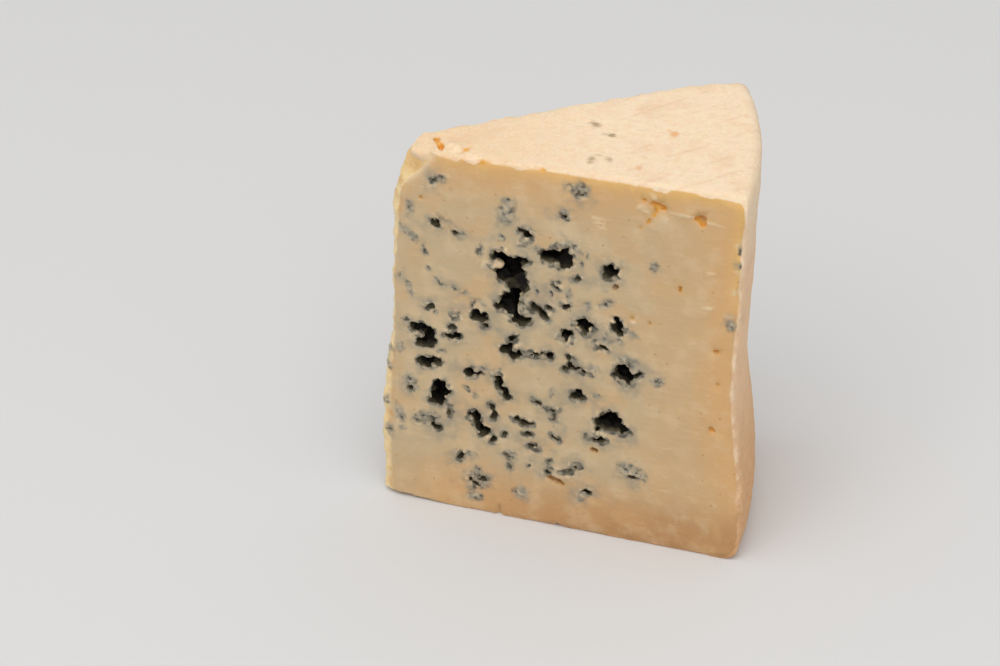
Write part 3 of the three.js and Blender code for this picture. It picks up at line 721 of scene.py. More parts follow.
def patch(across, rise, wide, high, tilt):
    """How far each point lies inside a patch: 1 in its middle, a half at its edge, 0 at twice its size."""
    turn = math.radians(tilt)
    level = (across * math.cos(turn) + rise * math.sin(turn)) / (wide / 2)
    steep = (rise * math.cos(turn) - across * math.sin(turn)) / (high / 2)
    return np.clip(1 - np.hypot(level, steep) / 2, 0, 1)


def group(name, weights):
    """Makes a vertex group of the skin, in a few steps of weight."""
    made = wedge.vertex_groups.new(name=name)
    steps = np.round(weights * GROUP_STEPS).astype(int)
    for step in range(1, GROUP_STEPS + 1):
        made.add(np.flatnonzero(steps == step).tolist(), step / GROUP_STEPS, "REPLACE")


def values_of(texture, chosen):
    """The value of a relief texture at the chosen points, and 0 elsewhere."""
    values = np.zeros(len(places))
    for i in np.flatnonzero(chosen):
        values[i] = texture.evaluate(places[i])[3]
    return values


def share_of(values, low, high):
    """Where values lie between low, as 0, and high, as 1."""
    return (values - low) / (high - low)


def wear_edge(cut, cut_in, under, under_in, wear, more=0):
    """Rounds the edge between a cut and a face of the rind, by a radius that wanders along the edge.
    Cut and under are depths below the two faces, and the next to each is its inward direction."""
    near = (np.maximum(cut, under) / MM - more) < wear[1]
    wander = smoothstep(*EDGE_RANGE, values_of(edge_grain, near))
    rounding = (between(*wear, wander) + more) * MM
    level, steep = np.maximum(rounding - cut, 0), np.maximum(rounding - under, 0)
    beyond = np.maximum(np.hypot(level, steep), LEAST_LENGTH)
    on_edge = near & (level > 0) & (steep > 0)
    share = np.where(on_edge, np.maximum(0, 1 - rounding / beyond), 0)
    return (level * share)[:, None] * cut_in + (steep * share)[:, None] * under_in


def rear_spots():
    """The mould spots of the rear cut: evenly spread, of drawn sizes and tilts."""
    draw = draws(REAR_SPOT_SEED)
    for i in range(REAR_SPOTS):
        place = spread(i, REAR_SPOT_START, draw)
        size = between(*REAR_SPOT_SIZES, next(draw) ** 2)
        yield *place, size, size * between(*REAR_SPOT_FLATNESS, next(draw)), between(*REAR_TILT, next(draw))


edge_grain = relief("CLOUDS", EDGE_GRAIN)
downward, upward, forward = np.array((0, 0, -1)), np.array((0, 0, 1)), np.array((1, 0, 0))
radial = from_axis * (1, 1, 0) / radius[:, None]
shift = np.zeros_like(places)
corner = TOP_CORNER_WEAR * smoothstep(*TOP_CORNER_SPAN, radius / MM)
for cut, out in ((front_deep, FRONT_OUT), (rear_deep, REAR_OUT)):
    inward = -np.array(out)
    shift += wear_edge(cut, inward, under_top * MM, downward, TOP_EDGE_WEAR, corner)
    shift += wear_edge(cut, inward, under_rim * MM, -radial, RIM_EDGE_WEAR)
    shift += wear_edge(cut, inward, height, upward, FOOT_EDGE_WEAR)
nose_deep = from_axis[:, 0] - NOSE_RIDGE - nose_setback(height)
shift += wear_edge(nose_deep, forward, under_top * MM, downward, TIP_WEAR)
skin.vertices.foreach_set("co", (places + shift).ravel())

bloom = np.zeros(len(places))
smear = np.zeros(len(places))
for spots, direction, sunk in (
    (SPOTS + RIM_SPOTS, FRONT_ALONG, front_deep),
    (rear_spots(), REAR_ALONG, rear_deep),
):
    across = from_axis @ np.array(direction) / MM
    on_cut = (sunk < SPOT_DEPTH) * smoothstep(*SPOT_RIM, under_rim)
    for middle, level, wide, high, tilt in spots:
        spot = patch(across - middle, up - level, wide, high, tilt) * on_cut
        bloom = np.maximum(bloom, spot)
        wider = patch(across - middle, up - level, wide + SMEAR, high + SMEAR, tilt) * on_cut
        smear = np.maximum(smear, wider)
stain = np.zeros(len(places))
sore = np.zeros(len(places))
for marks, field in ((TOP_STAINS, stain), (TOP_SORES, sore)):
    for outward, sideways, long, wide, turn, strength in marks:
        mark = patch(from_axis[:, 0] / MM - outward, from_axis[:, 1] / MM - sideways, long, wide, turn)
        np.maximum(field, strength * mark * (under_top < MARK_DEPTH), out=field)
eye_gap = gap(eye_wall, HAZE[1])
pit_gap = np.minimum(gap(pit_wall, PIT_REACH), gap(cleft_wall, PIT_REACH))
grain_gap = gap(grain_wall, GRAIN_REACH)
lumps = fade(*LUMP_EDGE, gap(crumb_wall, LUMP_REACH))
grain = fade(*GRAIN_EDGE, grain_gap)
bare = smoothstep(*BARE_EDGE, grain_gap)
rim = fade(*EYE_RIM, eye_gap)
spot = smoothstep(*SPOT_EDGE, bloom)
rim_level = share_of(values_of(relief("CLOUDS", RIM_CRUMBLE[0]), rim > spot), *RIM_RANGE)
spot_level = share_of(values_of(relief("CLOUDS", SPOT_CRUMBLE[0]), bloom > 0), *SPOT_RANGE)
beside_nose = fade(*BESIDE_NOSE, radius / MM)
worn = smoothstep(*WORN_DEPTH, cut_deep) * beside_nose * smoothstep(*WORN_CLEAR, eye_gap)
crease = line(*CREASE_LINE, cut_deep) * beside_nose * (eye_gap > CREASE_CLEAR)
crease_pale = smoothstep(*CREASE_PALE_UP, up)
# A painted shadow under the crumb lump at the nose's top, kept with the crease line.
lump_shadow = line(*LUMP_SHADOW_LINE, cut_deep) * beside_nose * (front_deep < rear_deep)
lump_shadow *= smoothstep(*LUMP_SHADOW_START, up) * fade(*LUMP_SHADOW_END, up)
edge = fade(*EDGE_CUT, cut_deep) * fade(*EDGE_RIM, under_rim)
under_skin = np.minimum(cut_deep, under_top)
under_rind = shallower(shallower(under_rim, under_top, CORNER_ROUND), up, CORNER_ROUND)
keep("under_rind", np.clip(under_rind * (1 - lumps), 0, DEEPEST_PASTE))
keep("up", up)
keep("out", radius / MM)
keep("haze", np.maximum(fade(*HAZE, eye_gap), smear))
keep("stain", stain)
keep("sore", sore)
keep("grain", grain)
keep("edge", np.maximum(edge, lumps * (radius > PALE_LUMPS_OUT * MM)))
keep("eye", smoothstep(*EYE_MOUTH, cut_deep) * fade(*EYE_WALL, eye_gap) * bare)
keep("deep", np.clip(under_skin, 0, DEEPEST_EYE))
keep("pit", smoothstep(*PIT_MOUTH, under_skin) * fade(*PIT_WALL, pit_gap))
keep("rim", rim)
keep("bloom", bloom)
keep("crumb", np.clip(np.where(rim > spot, rim_level, spot_level), 0, 1))
keep("worn", worn)
# The cleft value holds the crease line beside the nose and the painted shadow under the crumb lump.
keep("cleft", np.maximum(crease * (1 - crease_pale), lump_shadow))
keep("ridge", crease * crease_pale)
group("loose_rim", rim)
group("loose_spot", spot)
group("rubbed", worn)
marked = smoothstep(*MARK_EDGE, np.maximum(stain, sore))
group("fine", np.max([rim, spot, lumps, grain, crease, marked], axis=0))
group("off_floor", smoothstep(*OFF_FLOOR, up))
for (size, strength), region in (
    (WANDER, "off_floor"),
    (CURD_RELIEF, "off_floor"),
    (RIM_CRUMBLE, "loose_rim"),
    (SPOT_CRUMBLE, "loose_spot"),
    (NOSE_RELIEF, "rubbed"),
):
    apply(wedge, "DISPLACE", texture=relief("CLOUDS", size), strength=strength, vertex_group=region)
dense = sum(len(face.vertices) - 2 for face in skin.polygons)
apply(
    wedge,
    "DECIMATE",
    ratio=TRIANGLES / dense,
    vertex_group="fine",
    invert_vertex_group=True,
    vertex_group_factor=1,
)
bpy.ops.object.shade_smooth()

# The finish, first of the paste: pressed curd, cream in the middle, tan towards the rind, a darker tan
# towards the foot that is partly painted shade, and butter yellow under the top, with pale curds, streaks
# along the wire's path and small pricks.

# A span gives the values between which a share eases, then the shares at both ends if they aren't 0
# and 1. Noises have the size of their grain in millimetres, their detail and their roughness.
CREAM = (201, 178, 141)
PALE_CURD = (232, 209, 172)
TAN = (217, 173, 119)
# Tan of the small pricks, and of the darkening towards the foot, which is partly painted shade.
PRICK_AND_FOOT_SHADE_TAN = (184, 138, 90)
BUTTER = (226, 182, 112)
DRIFT_GRAIN = 30.0
DRIFT_REACH = 8.0
TAN_UNDER_RIND = (24.0, 5.0)
TAN_FROM_NOSE = (8.0, 30.0, 0.3, 1.0)
TAN_TO_RIM = (68.0, 100.0, 0.0, 0.6)
FOOT_TAN_AND_SHADE_UP = (22.0, 2.0)
FOOT_TAN_AND_SHADE_OUT = (10.0, 80.0, 0.05, 1.0)
PALE_CURDS = (6.0, 3.0, 0.55)
PALE_CURD_SHARE = (0.45, 0.75, 0.0, 0.35)
TAN_CLOUDS = (13.0, 2.0)
TAN_CLOUD_SHARE = (0.48, 0.68, 0.0, 0.35)
WIRE_STRETCH = (0.22, 0.22, 1.3)
WIRE_STREAKS = (1.4, 4.0, 0.6)
WIRE_SHARE = (0.57, 0.8, 0.0, 0.34)
WIRE_RELIEF = 0.6
BUTTER_GRAIN = 5.0
BUTTER_REACH = 5.0
BUTTER_UNDER_RIND = (8.0, 3.0)
BUTTER_UP = (60.0, 100.0)
BUTTER_OUT = (40.0, 90.0, 0.6, 0.95)
PRICK_SPACING = 4.2 * MM
PRICK_SHARE = (0.1, 0.05, 0.0, 0.6)
FINE_GRAIN = (0.9, 3.0)
FINE_SHARE = (0.5, 0.75, 0.0, 0.22)
FINE_RELIEF = 0.35
FLOAT, COLOUR = "NodeSocketFloat", "NodeSocketColor"


def paint(red, green, blue):
    """A screen colour from 0 to 255 as the linear colour that a shader takes."""
    shares = (value / 255 for value in (red, green, blue))
    linear = [s / 12.92 if s < 0.04045 else ((s + 0.055) / 1.055) ** 2.4 for s in shares]
    return (*linear, 1)


def feed(tree, socket, value):
    """Links a socket to another one, or sets its value."""
    if isinstance(value, bpy.types.NodeSocket):
        tree.links.new(value, socket)
    else:
        socket.default_value = value


def put(tree, kind, values=(), **settings):
    """Adds a node with its settings, and feeds its inputs by name."""
    made = tree.nodes.new(kind)
    for setting, value in settings.items():
        setattr(made, setting, value)
    for name, value in dict(values).items():
        feed(tree, made.inputs[name], value)
    return made


def tint(tree, share, under, over):
    """Lays one colour over another by a share."""
    made = put(tree, "ShaderNodeMix", data_type="RGBA")
    for index, value in ((0, share), (6, under), (7, over)):
        feed(tree, made.inputs[index], value)
    return made.outputs[2]


def calc(tree, operation, first, second):
    """Works out a value from two others."""
    made = put(tree, "ShaderNodeMath", operation=operation)
    feed(tree, made.inputs[0], first)
    feed(tree, made.inputs[1], second)
    return made.outputs[0]


def times(tree, first, second):
    """One value times another."""
    return calc(tree, "MULTIPLY", first, second)


def plus(tree, first, second):
    """One value and another together."""
    return calc(tree, "ADD", first, second)


def about_nought(tree, noise):
    """A noise from 0 to 1, moved to swing about 0."""
    return calc(tree, "SUBTRACT", noise, 0.5)


def ease(tree, value, low, high, start=0.0, end=1.0):
    """Eases from start to end while a value goes from low to high."""
    spans = {"Value": value, "From Min": low, "From Max": high, "To Min": start, "To Max": end}
    return put(tree, "ShaderNodeMapRange", spans, interpolation_type="SMOOTHSTEP").outputs["Result"]


def grainy(tree, where, size, detail=3.0, rough=0.5):
    """A cloudy value from 0 to 1 whose grain has a size in millimetres."""
    spans = {"Vector": where, "Scale": 1 / (size * MM), "Detail": detail, "Roughness": rough}
    return put(tree, "ShaderNodeTexNoise", spans).outputs["Fac"]


def dots(tree, where, spacing):
    """The distance from the nearest of many scattered points, in shares of their spacing."""
    spans = {"Vector": where, "Scale": 1 / spacing, "Randomness": 1.0}
    return put(tree, "ShaderNodeTexVoronoi", spans).outputs["Distance"]


def turned(tree, where, **settings):
    """Places that are turned or stretched."""
    spans = {name.capitalize(): value for name, value in settings.items()}
    return put(tree, "ShaderNodeMapping", {"Vector": where, **spans}).outputs["Vector"]


def effect(name, inputs, outputs):
    """Starts a node group and returns its tree, its input sockets, its output node and its places."""
    tree = bpy.data.node_groups.new(name, "ShaderNodeTree")
    for socket, kind in inputs.items():
        tree.interface.new_socket(socket, in_out="INPUT", socket_type=kind)
    for socket, kind in outputs.items():
        tree.interface.new_socket(socket, in_out="OUTPUT", socket_type=kind)
    where = put(tree, "ShaderNodeTexCoord").outputs["Object"]
    return tree, put(tree, "NodeGroupInput").outputs, put(tree, "NodeGroupOutput"), where


paste, given, result, where = effect(
    "curd_paste",
    dict.fromkeys(("Under Rind", "Up", "Out"), FLOAT),
    {"Colour": COLOUR, "Height": FLOAT},
)
drift = times(paste, grainy(paste, where, DRIFT_GRAIN), DRIFT_REACH)
near_rind = ease(paste, plus(paste, given["Under Rind"], drift), *TAN_UNDER_RIND)
near_rind = times(paste, near_rind, ease(paste, given["Out"], *TAN_FROM_NOSE))
near_rim = ease(paste, plus(paste, given["Out"], drift), *TAN_TO_RIM)
colour = tint(paste, calc(paste, "MAXIMUM", near_rind, near_rim), paint(*CREAM), paint(*TAN))
# Darker tan towards the foot, stronger further from the nose: partly the paste's own browning near the foot,
# partly painted shade.
foot_tan_and_shade = times(paste, ease(paste, given["Up"], *FOOT_TAN_AND_SHADE_UP), ease(paste, given["Out"], *FOOT_TAN_AND_SHADE_OUT))
colour = tint(paste, foot_tan_and_shade, colour, paint(*PRICK_AND_FOOT_SHADE_TAN))
curds = grainy(paste, where, *PALE_CURDS)
colour = tint(paste, ease(paste, curds, *PALE_CURD_SHARE), colour, paint(*PALE_CURD))
clouds = grainy(paste, where, *TAN_CLOUDS)
colour = tint(paste, ease(paste, clouds, *TAN_CLOUD_SHARE), colour, paint(*TAN))
dragged = grainy(paste, turned(paste, where, scale=WIRE_STRETCH), *WIRE_STREAKS)
colour = tint(paste, ease(paste, dragged, *WIRE_SHARE), colour, paint(*PALE_CURD))
butter = times(paste, grainy(paste, where, BUTTER_GRAIN), BUTTER_REACH)
butter = ease(paste, plus(paste, given["Under Rind"], butter), *BUTTER_UNDER_RIND)
butter = times(paste, butter, ease(paste, given["Up"], *BUTTER_UP))
butter = times(paste, butter, ease(paste, given["Out"], *BUTTER_OUT))
colour = tint(paste, butter, colour, paint(*BUTTER))
pricked = ease(paste, dots(paste, where, PRICK_SPACING), *PRICK_SHARE)
colour = tint(paste, pricked, colour, paint(*PRICK_AND_FOOT_SHADE_TAN))
fine = grainy(paste, where, *FINE_GRAIN)
colour = tint(paste, ease(paste, fine, *FINE_SHARE), colour, paint(*TAN))
feed(paste, result.inputs["Colour"], colour)
texture = plus(paste, times(paste, fine, FINE_RELIEF), times(paste, dragged, WIRE_RELIEF))
feed(paste, result.inputs["Height"], plus(paste, curds, texture))

# The mould: a blue-grey bloom that hazes the paste round the eyes, darkens at their crumbled rims and in
# the spots, and lines the eyes, grey-green at the mouth and almost black inside, the darkening with depth
# being painted shade.
BLUE_GREY = (146, 141, 127)
MOULD_GREY = (88, 80, 58)
MOULD_FRINGE = (104, 98, 82)
MOULD_DARK = (64, 61, 50)
# Near black deep in the eyes: painted shade over the dark mould.
MOULD_DEEP_SHADE = (20, 14, 6)
FLECKS = (0.9, 3.0, 0.6)
SMUDGES = (2.6, 2.0)
DRIFTS = (7.0, 3.0)
DRIFT_SWING = 1.6
HAZE_WEIGHT = 0.7
HAZE_SHARE = (0.3, 1.0, 0.0, 0.55)
HAZE_EDGE = (0.0, 0.5)
BLOOM_SWING = 0.9
BLOOM_SHARE = (0.1, 0.8)
BLOOM_EDGE = (0.0, 0.25)
RING_SWING = 2.0
RING_SHARE = (0.2, 1.0)
RING_EDGE = (0.0, 0.5)
VEIL_STRENGTH = 0.8
CRUMB_SWING = 0.5
DUSKY_CRUMB = (0.5, 0.1)
DUSKY_STRENGTH = 0.9
BRIGHT_CRUMB = (0.5, 0.95)
BRIGHT_STRENGTH = 0.5
FRINGE_SWING = 1.4
FRINGE_SHARE = (0.65, 1.1, 0.0, 0.6)
DEPTH_SWING = 2.0
SHADE_DEPTH = (0.3, 3.4)

mould, given, result, where = effect(
    "blue_mould",
    dict.fromkeys(("Eye", "Deep", "Rim", "Bloom", "Crumb", "Haze"), FLOAT) | {"Colour": COLOUR},
    {"Colour": COLOUR},
)
flecks = about_nought(mould, grainy(mould, where, *FLECKS))
smudge = about_nought(mould, grainy(mould, where, *SMUDGES))
drifts = times(mould, about_nought(mould, grainy(mould, where, *DRIFTS)), DRIFT_SWING)
haze = plus(mould, times(mould, given["Haze"], HAZE_WEIGHT), plus(mould, drifts, smudge))
haze = times(mould, ease(mould, haze, *HAZE_SHARE), ease(mould, given["Haze"], *HAZE_EDGE))
colour = tint(mould, haze, given["Colour"], paint(*BLUE_GREY))
veil = plus(mould, given["Bloom"], times(mould, smudge, BLOOM_SWING))
veil = times(mould, ease(mould, veil, *BLOOM_SHARE), ease(mould, given["Bloom"], *BLOOM_EDGE))
ring = plus(mould, given["Rim"], times(mould, smudge, RING_SWING))
ring = times(mould, ease(mould, ring, *RING_SHARE), ease(mould, given["Rim"], *RING_EDGE))
veil = calc(mould, "MAXIMUM", veil, ring)
colour = tint(mould, times(mould, veil, VEIL_STRENGTH), colour, paint(*BLUE_GREY))
crumb = plus(mould, given["Crumb"], times(mould, flecks, CRUMB_SWING))
dusky = times(mould, ease(mould, crumb, *DUSKY_CRUMB), veil)
colour = tint(mould, times(mould, dusky, DUSKY_STRENGTH), colour, paint(*MOULD_DARK))
rough_edge = calc(mould, "MAXIMUM", given["Rim"], given["Bloom"])
bright = times(mould, ease(mould, crumb, *BRIGHT_CRUMB), rough_edge)
colour = tint(mould, times(mould, bright, BRIGHT_STRENGTH), colour, paint(*PALE_CURD))
fringe = plus(mould, given["Rim"], times(mould, smudge, FRINGE_SWING))
colour = tint(mould, ease(mould, fringe, *FRINGE_SHARE), colour, paint(*MOULD_FRINGE))
# The lining goes from grey-olive at the mouth to almost black with depth, which is painted shade.
depth = plus(mould, given["Deep"], times(mould, flecks, DEPTH_SWING))
lining_and_shade = tint(mould, ease(mould, depth, *SHADE_DEPTH), paint(*MOULD_GREY), paint(*MOULD_DEEP_SHADE))
feed(mould, result.inputs["Colour"], tint(mould, given["Eye"], colour, lining_and_shade))

# The rind: a thin dry crust, cream and floury on the top, peach down the side and brown at the foot, with
# fibrous strands, the marks of the mat that the wheel ripened on, and a few stains and sore spots.
RIND_CREAM = (240, 216, 184)
RIND_PALE = (250, 234, 208)
RIND_SIDE = (238, 197, 156)
RIND_FOOT = (214, 161, 110)
RIND_EDGE = (246, 220, 186)
RIND_BROWN = (196, 152, 112)
RIND_PEACH = (230, 194, 150)
RIND_PINK = (224, 182, 146)
RIND_SORE = (226, 158, 88)
RIND_STAIN = (154, 130, 94)
FIBRE_TURN = (0, 0, 0.3)
FIBRE_STRETCH = (0.6, 1, 1)
STRANDS = (1.6, 5.0, 0.65)
STRAND_SHARE = (0.42, 0.66, 0.0, 0.4)
BLOTCHES = (11.0, 3.0)
BLOTCH_SHARE = (0.5, 0.72, 0.0, 0.3)
BLOTCH_REACH = 40.0
SIDE_UP = (110.0, 78.0)
FOOT_UP = (60.0, 15.0)
MOTTLES = (4.5, 4.0, 0.6)
MOTTLE_SHARE = (0.45, 0.75, 0.0, 0.4)
PEACH_OUT = (66.0, 24.0, 0.0, 0.5)
FLOUR = (0.8, 3.0, 0.6)
FLOUR_SHARE = (0.5, 0.7)
FLOUR_UP = (50.0, 106.0, 0.1, 0.35)
SPECK_SPACING = 1.4 * MM
SPECK_SIZE = (0.35, 0.1)
SPECK_STRANDS = (0.4, 0.6)
SPECK_UP = (60.0, 106.0, 0.05, 0.35)
MAT_TURN = (0, 0, math.radians(61))
MAT_SCALE = 45.0
MAT_WARP = 1.5
MAT_LINES = (0.88, 1.0)
MAT_BLOTCHES = (0.42, 0.6)
MAT_OUT = (55.0, 80.0)
MAT_UP = (107.0, 110.0)
MAT_STRENGTH = 0.3
MAT_RELIEF = 0.25
EDGING_UP = (5.0, 40.0, 0.1, 0.8)
EDGING_GRAIN = (2.2, 3.0)
EDGING_SHARE = (0.4, 0.6, 0.2, 1.0)
STAIN_SHARE = (0.12, 0.75, 0.0, 0.8)
SORE_SHARE = (0.15, 0.7, 0.0, 0.65)
CRUST_GRAIN = 1.2
CRUST_RELIEF = 0.5

rind, given, result, where = effect(
    "dry_rind",
    dict.fromkeys(("Up", "Out", "Edge", "Sore", "Stain"), FLOAT),
    {"Colour": COLOUR, "Height": FLOAT},
)
fibres = turned(rind, where, rotation=FIBRE_TURN, scale=FIBRE_STRETCH)
strands = grainy(rind, fibres, *STRANDS)
blotches = grainy(rind, where, *BLOTCHES)
fall = plus(rind, given["Up"], times(rind, about_nought(rind, blotches), BLOTCH_REACH))
on_side = ease(rind, fall, *SIDE_UP)
colour = tint(rind, on_side, paint(*RIND_CREAM), paint(*RIND_SIDE))
colour = tint(rind, ease(rind, given["Up"], *FOOT_UP), colour, paint(*RIND_FOOT))
mottles = ease(rind, grainy(rind, where, *MOTTLES), *MOTTLE_SHARE)
colour = tint(rind, times(rind, mottles, on_side), colour, paint(*RIND_BROWN))
colour = tint(rind, ease(rind, given["Out"], *PEACH_OUT), colour, paint(*RIND_PEACH))
colour = tint(rind, ease(rind, strands, *STRAND_SHARE), colour, paint(*RIND_PEACH))
flour = ease(rind, grainy(rind, where, *FLOUR), *FLOUR_SHARE)
flour = times(rind, flour, ease(rind, given["Up"], *FLOUR_UP))
colour = tint(rind, flour, colour, paint(*RIND_PALE))
colour = tint(rind, ease(rind, blotches, *BLOTCH_SHARE), colour, paint(*RIND_PINK))
across = turned(rind, where, rotation=MAT_TURN)
mat = put(rind, "ShaderNodeTexWave", {"Vector": across, "Scale": MAT_SCALE, "Distortion": MAT_WARP})
marks = times(rind, ease(rind, mat.outputs["Fac"], *MAT_LINES), ease(rind, blotches, *MAT_BLOTCHES))
marks = times(rind, marks, ease(rind, given["Out"], *MAT_OUT))
marks = times(rind, marks, ease(rind, given["Up"], *MAT_UP))
colour = tint(rind, times(rind, marks, MAT_STRENGTH), colour, paint(*RIND_PINK))
specks = ease(rind, dots(rind, where, SPECK_SPACING), *SPECK_SIZE)
specks = times(rind, specks, ease(rind, strands, *SPECK_STRANDS))
specks = times(rind, specks, ease(rind, given["Up"], *SPECK_UP))
colour = tint(rind, specks, colour, paint(*RIND_PALE))
edging = times(rind, given["Edge"], ease(rind, given["Up"], *EDGING_UP))
edging = times(rind, edging, ease(rind, grainy(rind, where, *EDGING_GRAIN), *EDGING_SHARE))
colour = tint(rind, edging, colour, paint(*RIND_EDGE))
for mark, span, shade in (("Stain", STAIN_SHARE, RIND_STAIN), ("Sore", SORE_SHARE, RIND_SORE)):
    frayed = plus(rind, given[mark], about_nought(rind, strands))
    colour = tint(rind, ease(rind, frayed, *span), colour, paint(*shade))
feed(rind, result.inputs["Colour"], colour)
rough = plus(rind, strands, times(rind, grainy(rind, where, CRUST_GRAIN), CRUST_RELIEF))
feed(rind, result.inputs["Height"], calc(rind, "SUBTRACT", rough, times(rind, marks, MAT_RELIEF)))

# The cheese as a whole: paste, rubbed paste at the nose with a painted shadow under the crumb lump at its
# top, rind over it, bare orange in the clean pits and creases, browner in the deeper pits with painted shade,
# pale loose grains whose paleness on the lips of the eyes is partly a painted highlight, and the mould over
# all of them. It is moist, and light enters it a little.
WORN_PASTE = (240, 214, 162)
CREASE_AND_SHADOW_OCHRE = (206, 154, 88)
PIT_OCHRE = (230, 169, 74)
PIT_BROWN_SHADE = (140, 92, 38)
SHADOW_YELLOW_UP = (97.0, 104.0, 0.0, 0.6)
CREEP_GRAIN = (9.0, 3.0)
CREEP_REACH = (0.5, 0.75, 0.0, 1.6)
RIND_DEPTH = (0.75, 0.2)
BROWN_UP = (98.0, 90.0)
BROWN_OUT = (90.0, 80.0)
PIT_SHADE_DEPTH = (0.0, 0.9, 0.3, 1.0)
PIT_GRAIN = 1.5
PIT_SHARE = (0.3, 0.5, 0.3, 1.0)
CREASE_AND_SHADOW_GRAIN = 3.0
CREASE_AND_SHADOW_SHARE = (0.42, 0.66, 0.0, 0.65)
PALE_AND_HIGHLIGHT_STRENGTH = 0.5
ROUGHNESS = (0.0, 1.0, 0.42, 0.75)
RELIEF_STRENGTH = 0.5
RELIEF_DEPTH = 0.4 * MM
GLOSS = 0.35
GLOW_WEIGHT = 0.3
GLOW_RADIUS = (1.0, 0.55, 0.25)
GLOW_SCALE = 1.5 * MM


def kept(tree, name):
    """The value that the skin keeps under a name."""
    return put(tree, "ShaderNodeAttribute", attribute_name=name).outputs["Fac"]


cheese = bpy.data.materials.new("blue_cheese")
cheese.use_nodes = True
tree = cheese.node_tree
shader = tree.nodes["Principled BSDF"]
where = put(tree, "ShaderNodeTexCoord").outputs["Object"]
names = ("under_rind", "up", "out", "edge", "sore", "stain", "worn", "pit", "cleft", "ridge", "grain")
names += ("eye", "deep", "rim", "bloom", "crumb", "haze")
values = {name.replace("_", " ").title(): kept(tree, name) for name in names}


def grouped(group, **more):
    """Places a node group, feeds its inputs from the kept values and from more, and returns its outputs."""
    made = put(tree, "ShaderNodeGroup", node_tree=group)
    for socket in made.inputs:
        feed(tree, socket, (values | more)[socket.name])
    return made.outputs


body = grouped(paste)
crust = grouped(rind)
colour = tint(tree, values["Worn"], body["Colour"], paint(*WORN_PASTE))
# Painted shadow: the rubbed paste turns a deeper yellow just under the crumb lump at the nose's top.
shadow_yellow = times(tree, values["Worn"], ease(tree, values["Up"], *SHADOW_YELLOW_UP))
colour = tint(tree, shadow_yellow, colour, paint(*BUTTER))
creep = ease(tree, grainy(tree, where, *CREEP_GRAIN), *CREEP_REACH)
crusted = ease(tree, calc(tree, "SUBTRACT", values["Under Rind"], creep), *RIND_DEPTH)
colour = tint(tree, crusted, colour, crust["Colour"])
# Pits away from the top and the rim are browner, and browner still with depth, which is painted shade.
inner = times(tree, ease(tree, values["Up"], *BROWN_UP), ease(tree, values["Out"], *BROWN_OUT))
shaded = times(tree, ease(tree, values["Deep"], *PIT_SHADE_DEPTH), inner)
ochre = tint(tree, shaded, paint(*PIT_OCHRE), paint(*PIT_BROWN_SHADE))
pitted = times(tree, values["Pit"], ease(tree, grainy(tree, where, PIT_GRAIN), *PIT_SHARE))
colour = tint(tree, pitted, colour, ochre)
# Ochre along the crease beside the nose, and the painted shadow under the crumb lump at its top.
crease_and_shadow = times(tree, values["Cleft"], ease(tree, grainy(tree, where, CREASE_AND_SHADOW_GRAIN), *CREASE_AND_SHADOW_SHARE))
colour = tint(tree, crease_and_shadow, colour, paint(*CREASE_AND_SHADOW_OCHRE))
# Pale curd on the loose grains and the ridge by the nose; on the lips round the eyes this paleness is partly
# a painted highlight.
pale_and_highlight = times(tree, calc(tree, "MAXIMUM", values["Ridge"], values["Grain"]), PALE_AND_HIGHLIGHT_STRENGTH)
colour = tint(tree, pale_and_highlight, colour, paint(*PALE_CURD))
feed(tree, shader.inputs["Base Color"], grouped(mould, Colour=colour)["Colour"])
dry = calc(tree, "MAXIMUM", crusted, values["Eye"])
feed(tree, shader.inputs["Roughness"], ease(tree, dry, *ROUGHNESS))
height_mix = put(tree, "ShaderNodeMix", data_type="FLOAT")
for index, value in ((0, crusted), (2, body["Height"]), (3, crust["Height"])):
    feed(tree, height_mix.inputs[index], value)
bumps = {"Height": height_mix.outputs[0], "Strength": RELIEF_STRENGTH, "Distance": RELIEF_DEPTH}
feed(tree, shader.inputs["Normal"], put(tree, "ShaderNodeBump", bumps).outputs["Normal"])
shader.inputs["Specular IOR Level"].default_value = GLOSS
shader.inputs["Subsurface Weight"].default_value = GLOW_WEIGHT
shader.inputs["Subsurface Radius"].default_value = GLOW_RADIUS
shader.inputs["Subsurface Scale"].default_value = GLOW_SCALE
skin.materials.clear()
skin.materials.append(cheese)

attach(wedge, "root")
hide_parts("cheese_wedge")

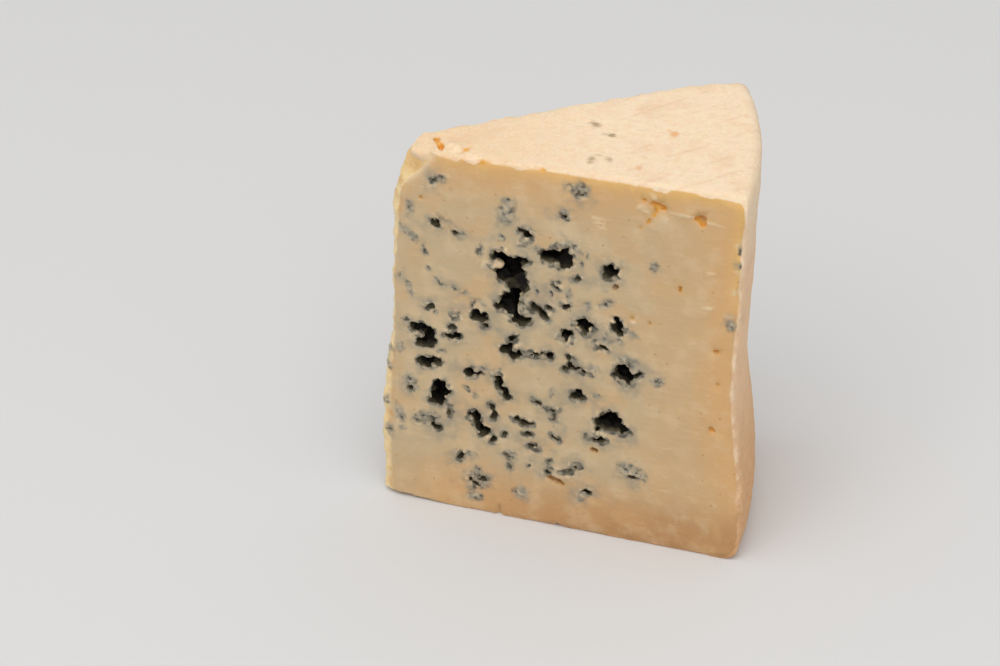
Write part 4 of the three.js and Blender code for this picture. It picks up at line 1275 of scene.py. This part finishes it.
# The floor: a plain pale sheet, larger than the picture, that the wedge stands on. It is of the studio
# and no part of the wedge.
FLOOR_SIZE = 6
FLOOR_GRAIN = 300.0
FLOOR_TONES = ((0.68, 0.675, 0.67, 1), (0.7, 0.695, 0.69, 1))
FLOOR_ROUGHNESS = 0.8
bpy.ops.object.select_all(action="DESELECT")
bpy.ops.mesh.primitive_plane_add(size=FLOOR_SIZE)
floor = bpy.context.object
floor.name = "floor"
sheet = bpy.data.materials.new("pale_floor")
sheet.use_nodes = True
tree = sheet.node_tree
where = put(tree, "ShaderNodeTexCoord").outputs["Object"]
cloud = tint(tree, grainy(tree, where, FLOOR_GRAIN), *FLOOR_TONES)
feed(tree, tree.nodes["Principled BSDF"].inputs["Base Color"], cloud)
tree.nodes["Principled BSDF"].inputs["Roughness"].default_value = FLOOR_ROUGHNESS
floor.data.materials.append(sheet)

# The light: one large soft lamp, overhead and a little in front of the wedge, in an even pale room that
# fills the shadows.
ROOM_COLOUR = (1, 1, 1, 1)
ROOM_STRENGTH = 0.6
OVERHEAD_POWER = 14
OVERHEAD_SIZE = 1.4
OVERHEAD_PLACE = (-0.15, -0.6, 1.4)
world = bpy.data.worlds.new("room")
bpy.context.scene.world = world
world.use_nodes = True
world.node_tree.nodes["Background"].inputs["Color"].default_value = ROOM_COLOUR
world.node_tree.nodes["Background"].inputs["Strength"].default_value = ROOM_STRENGTH
bpy.ops.object.light_add(type="AREA", location=OVERHEAD_PLACE)
overhead = bpy.context.object
overhead.data.energy = OVERHEAD_POWER
overhead.data.size = OVERHEAD_SIZE
overhead.rotation_euler = (-Vector(OVERHEAD_PLACE)).to_track_quat("-Z", "Y").to_euler()

# The camera: a long lens, looking down on the front cut from just over a metre away, with the wedge
# right of the picture's middle.
LENS = 162
SENSOR = 36
CAMERA_PLACE = Vector((8.63, -936.69, 715.39)) * MM
CAMERA_AIM = Vector((-20.29, 73.28, 0)) * MM
lens = bpy.data.cameras.new("camera")
lens.lens = LENS
lens.sensor_width = SENSOR
camera = bpy.data.objects.new("camera", lens)
camera.location = CAMERA_PLACE
camera.rotation_euler = (CAMERA_AIM - CAMERA_PLACE).to_track_quat("-Z", "Y").to_euler()
bpy.context.collection.objects.link(camera)
bpy.context.scene.camera = camera
bpy.context.scene.view_settings.view_transform = "Standard"
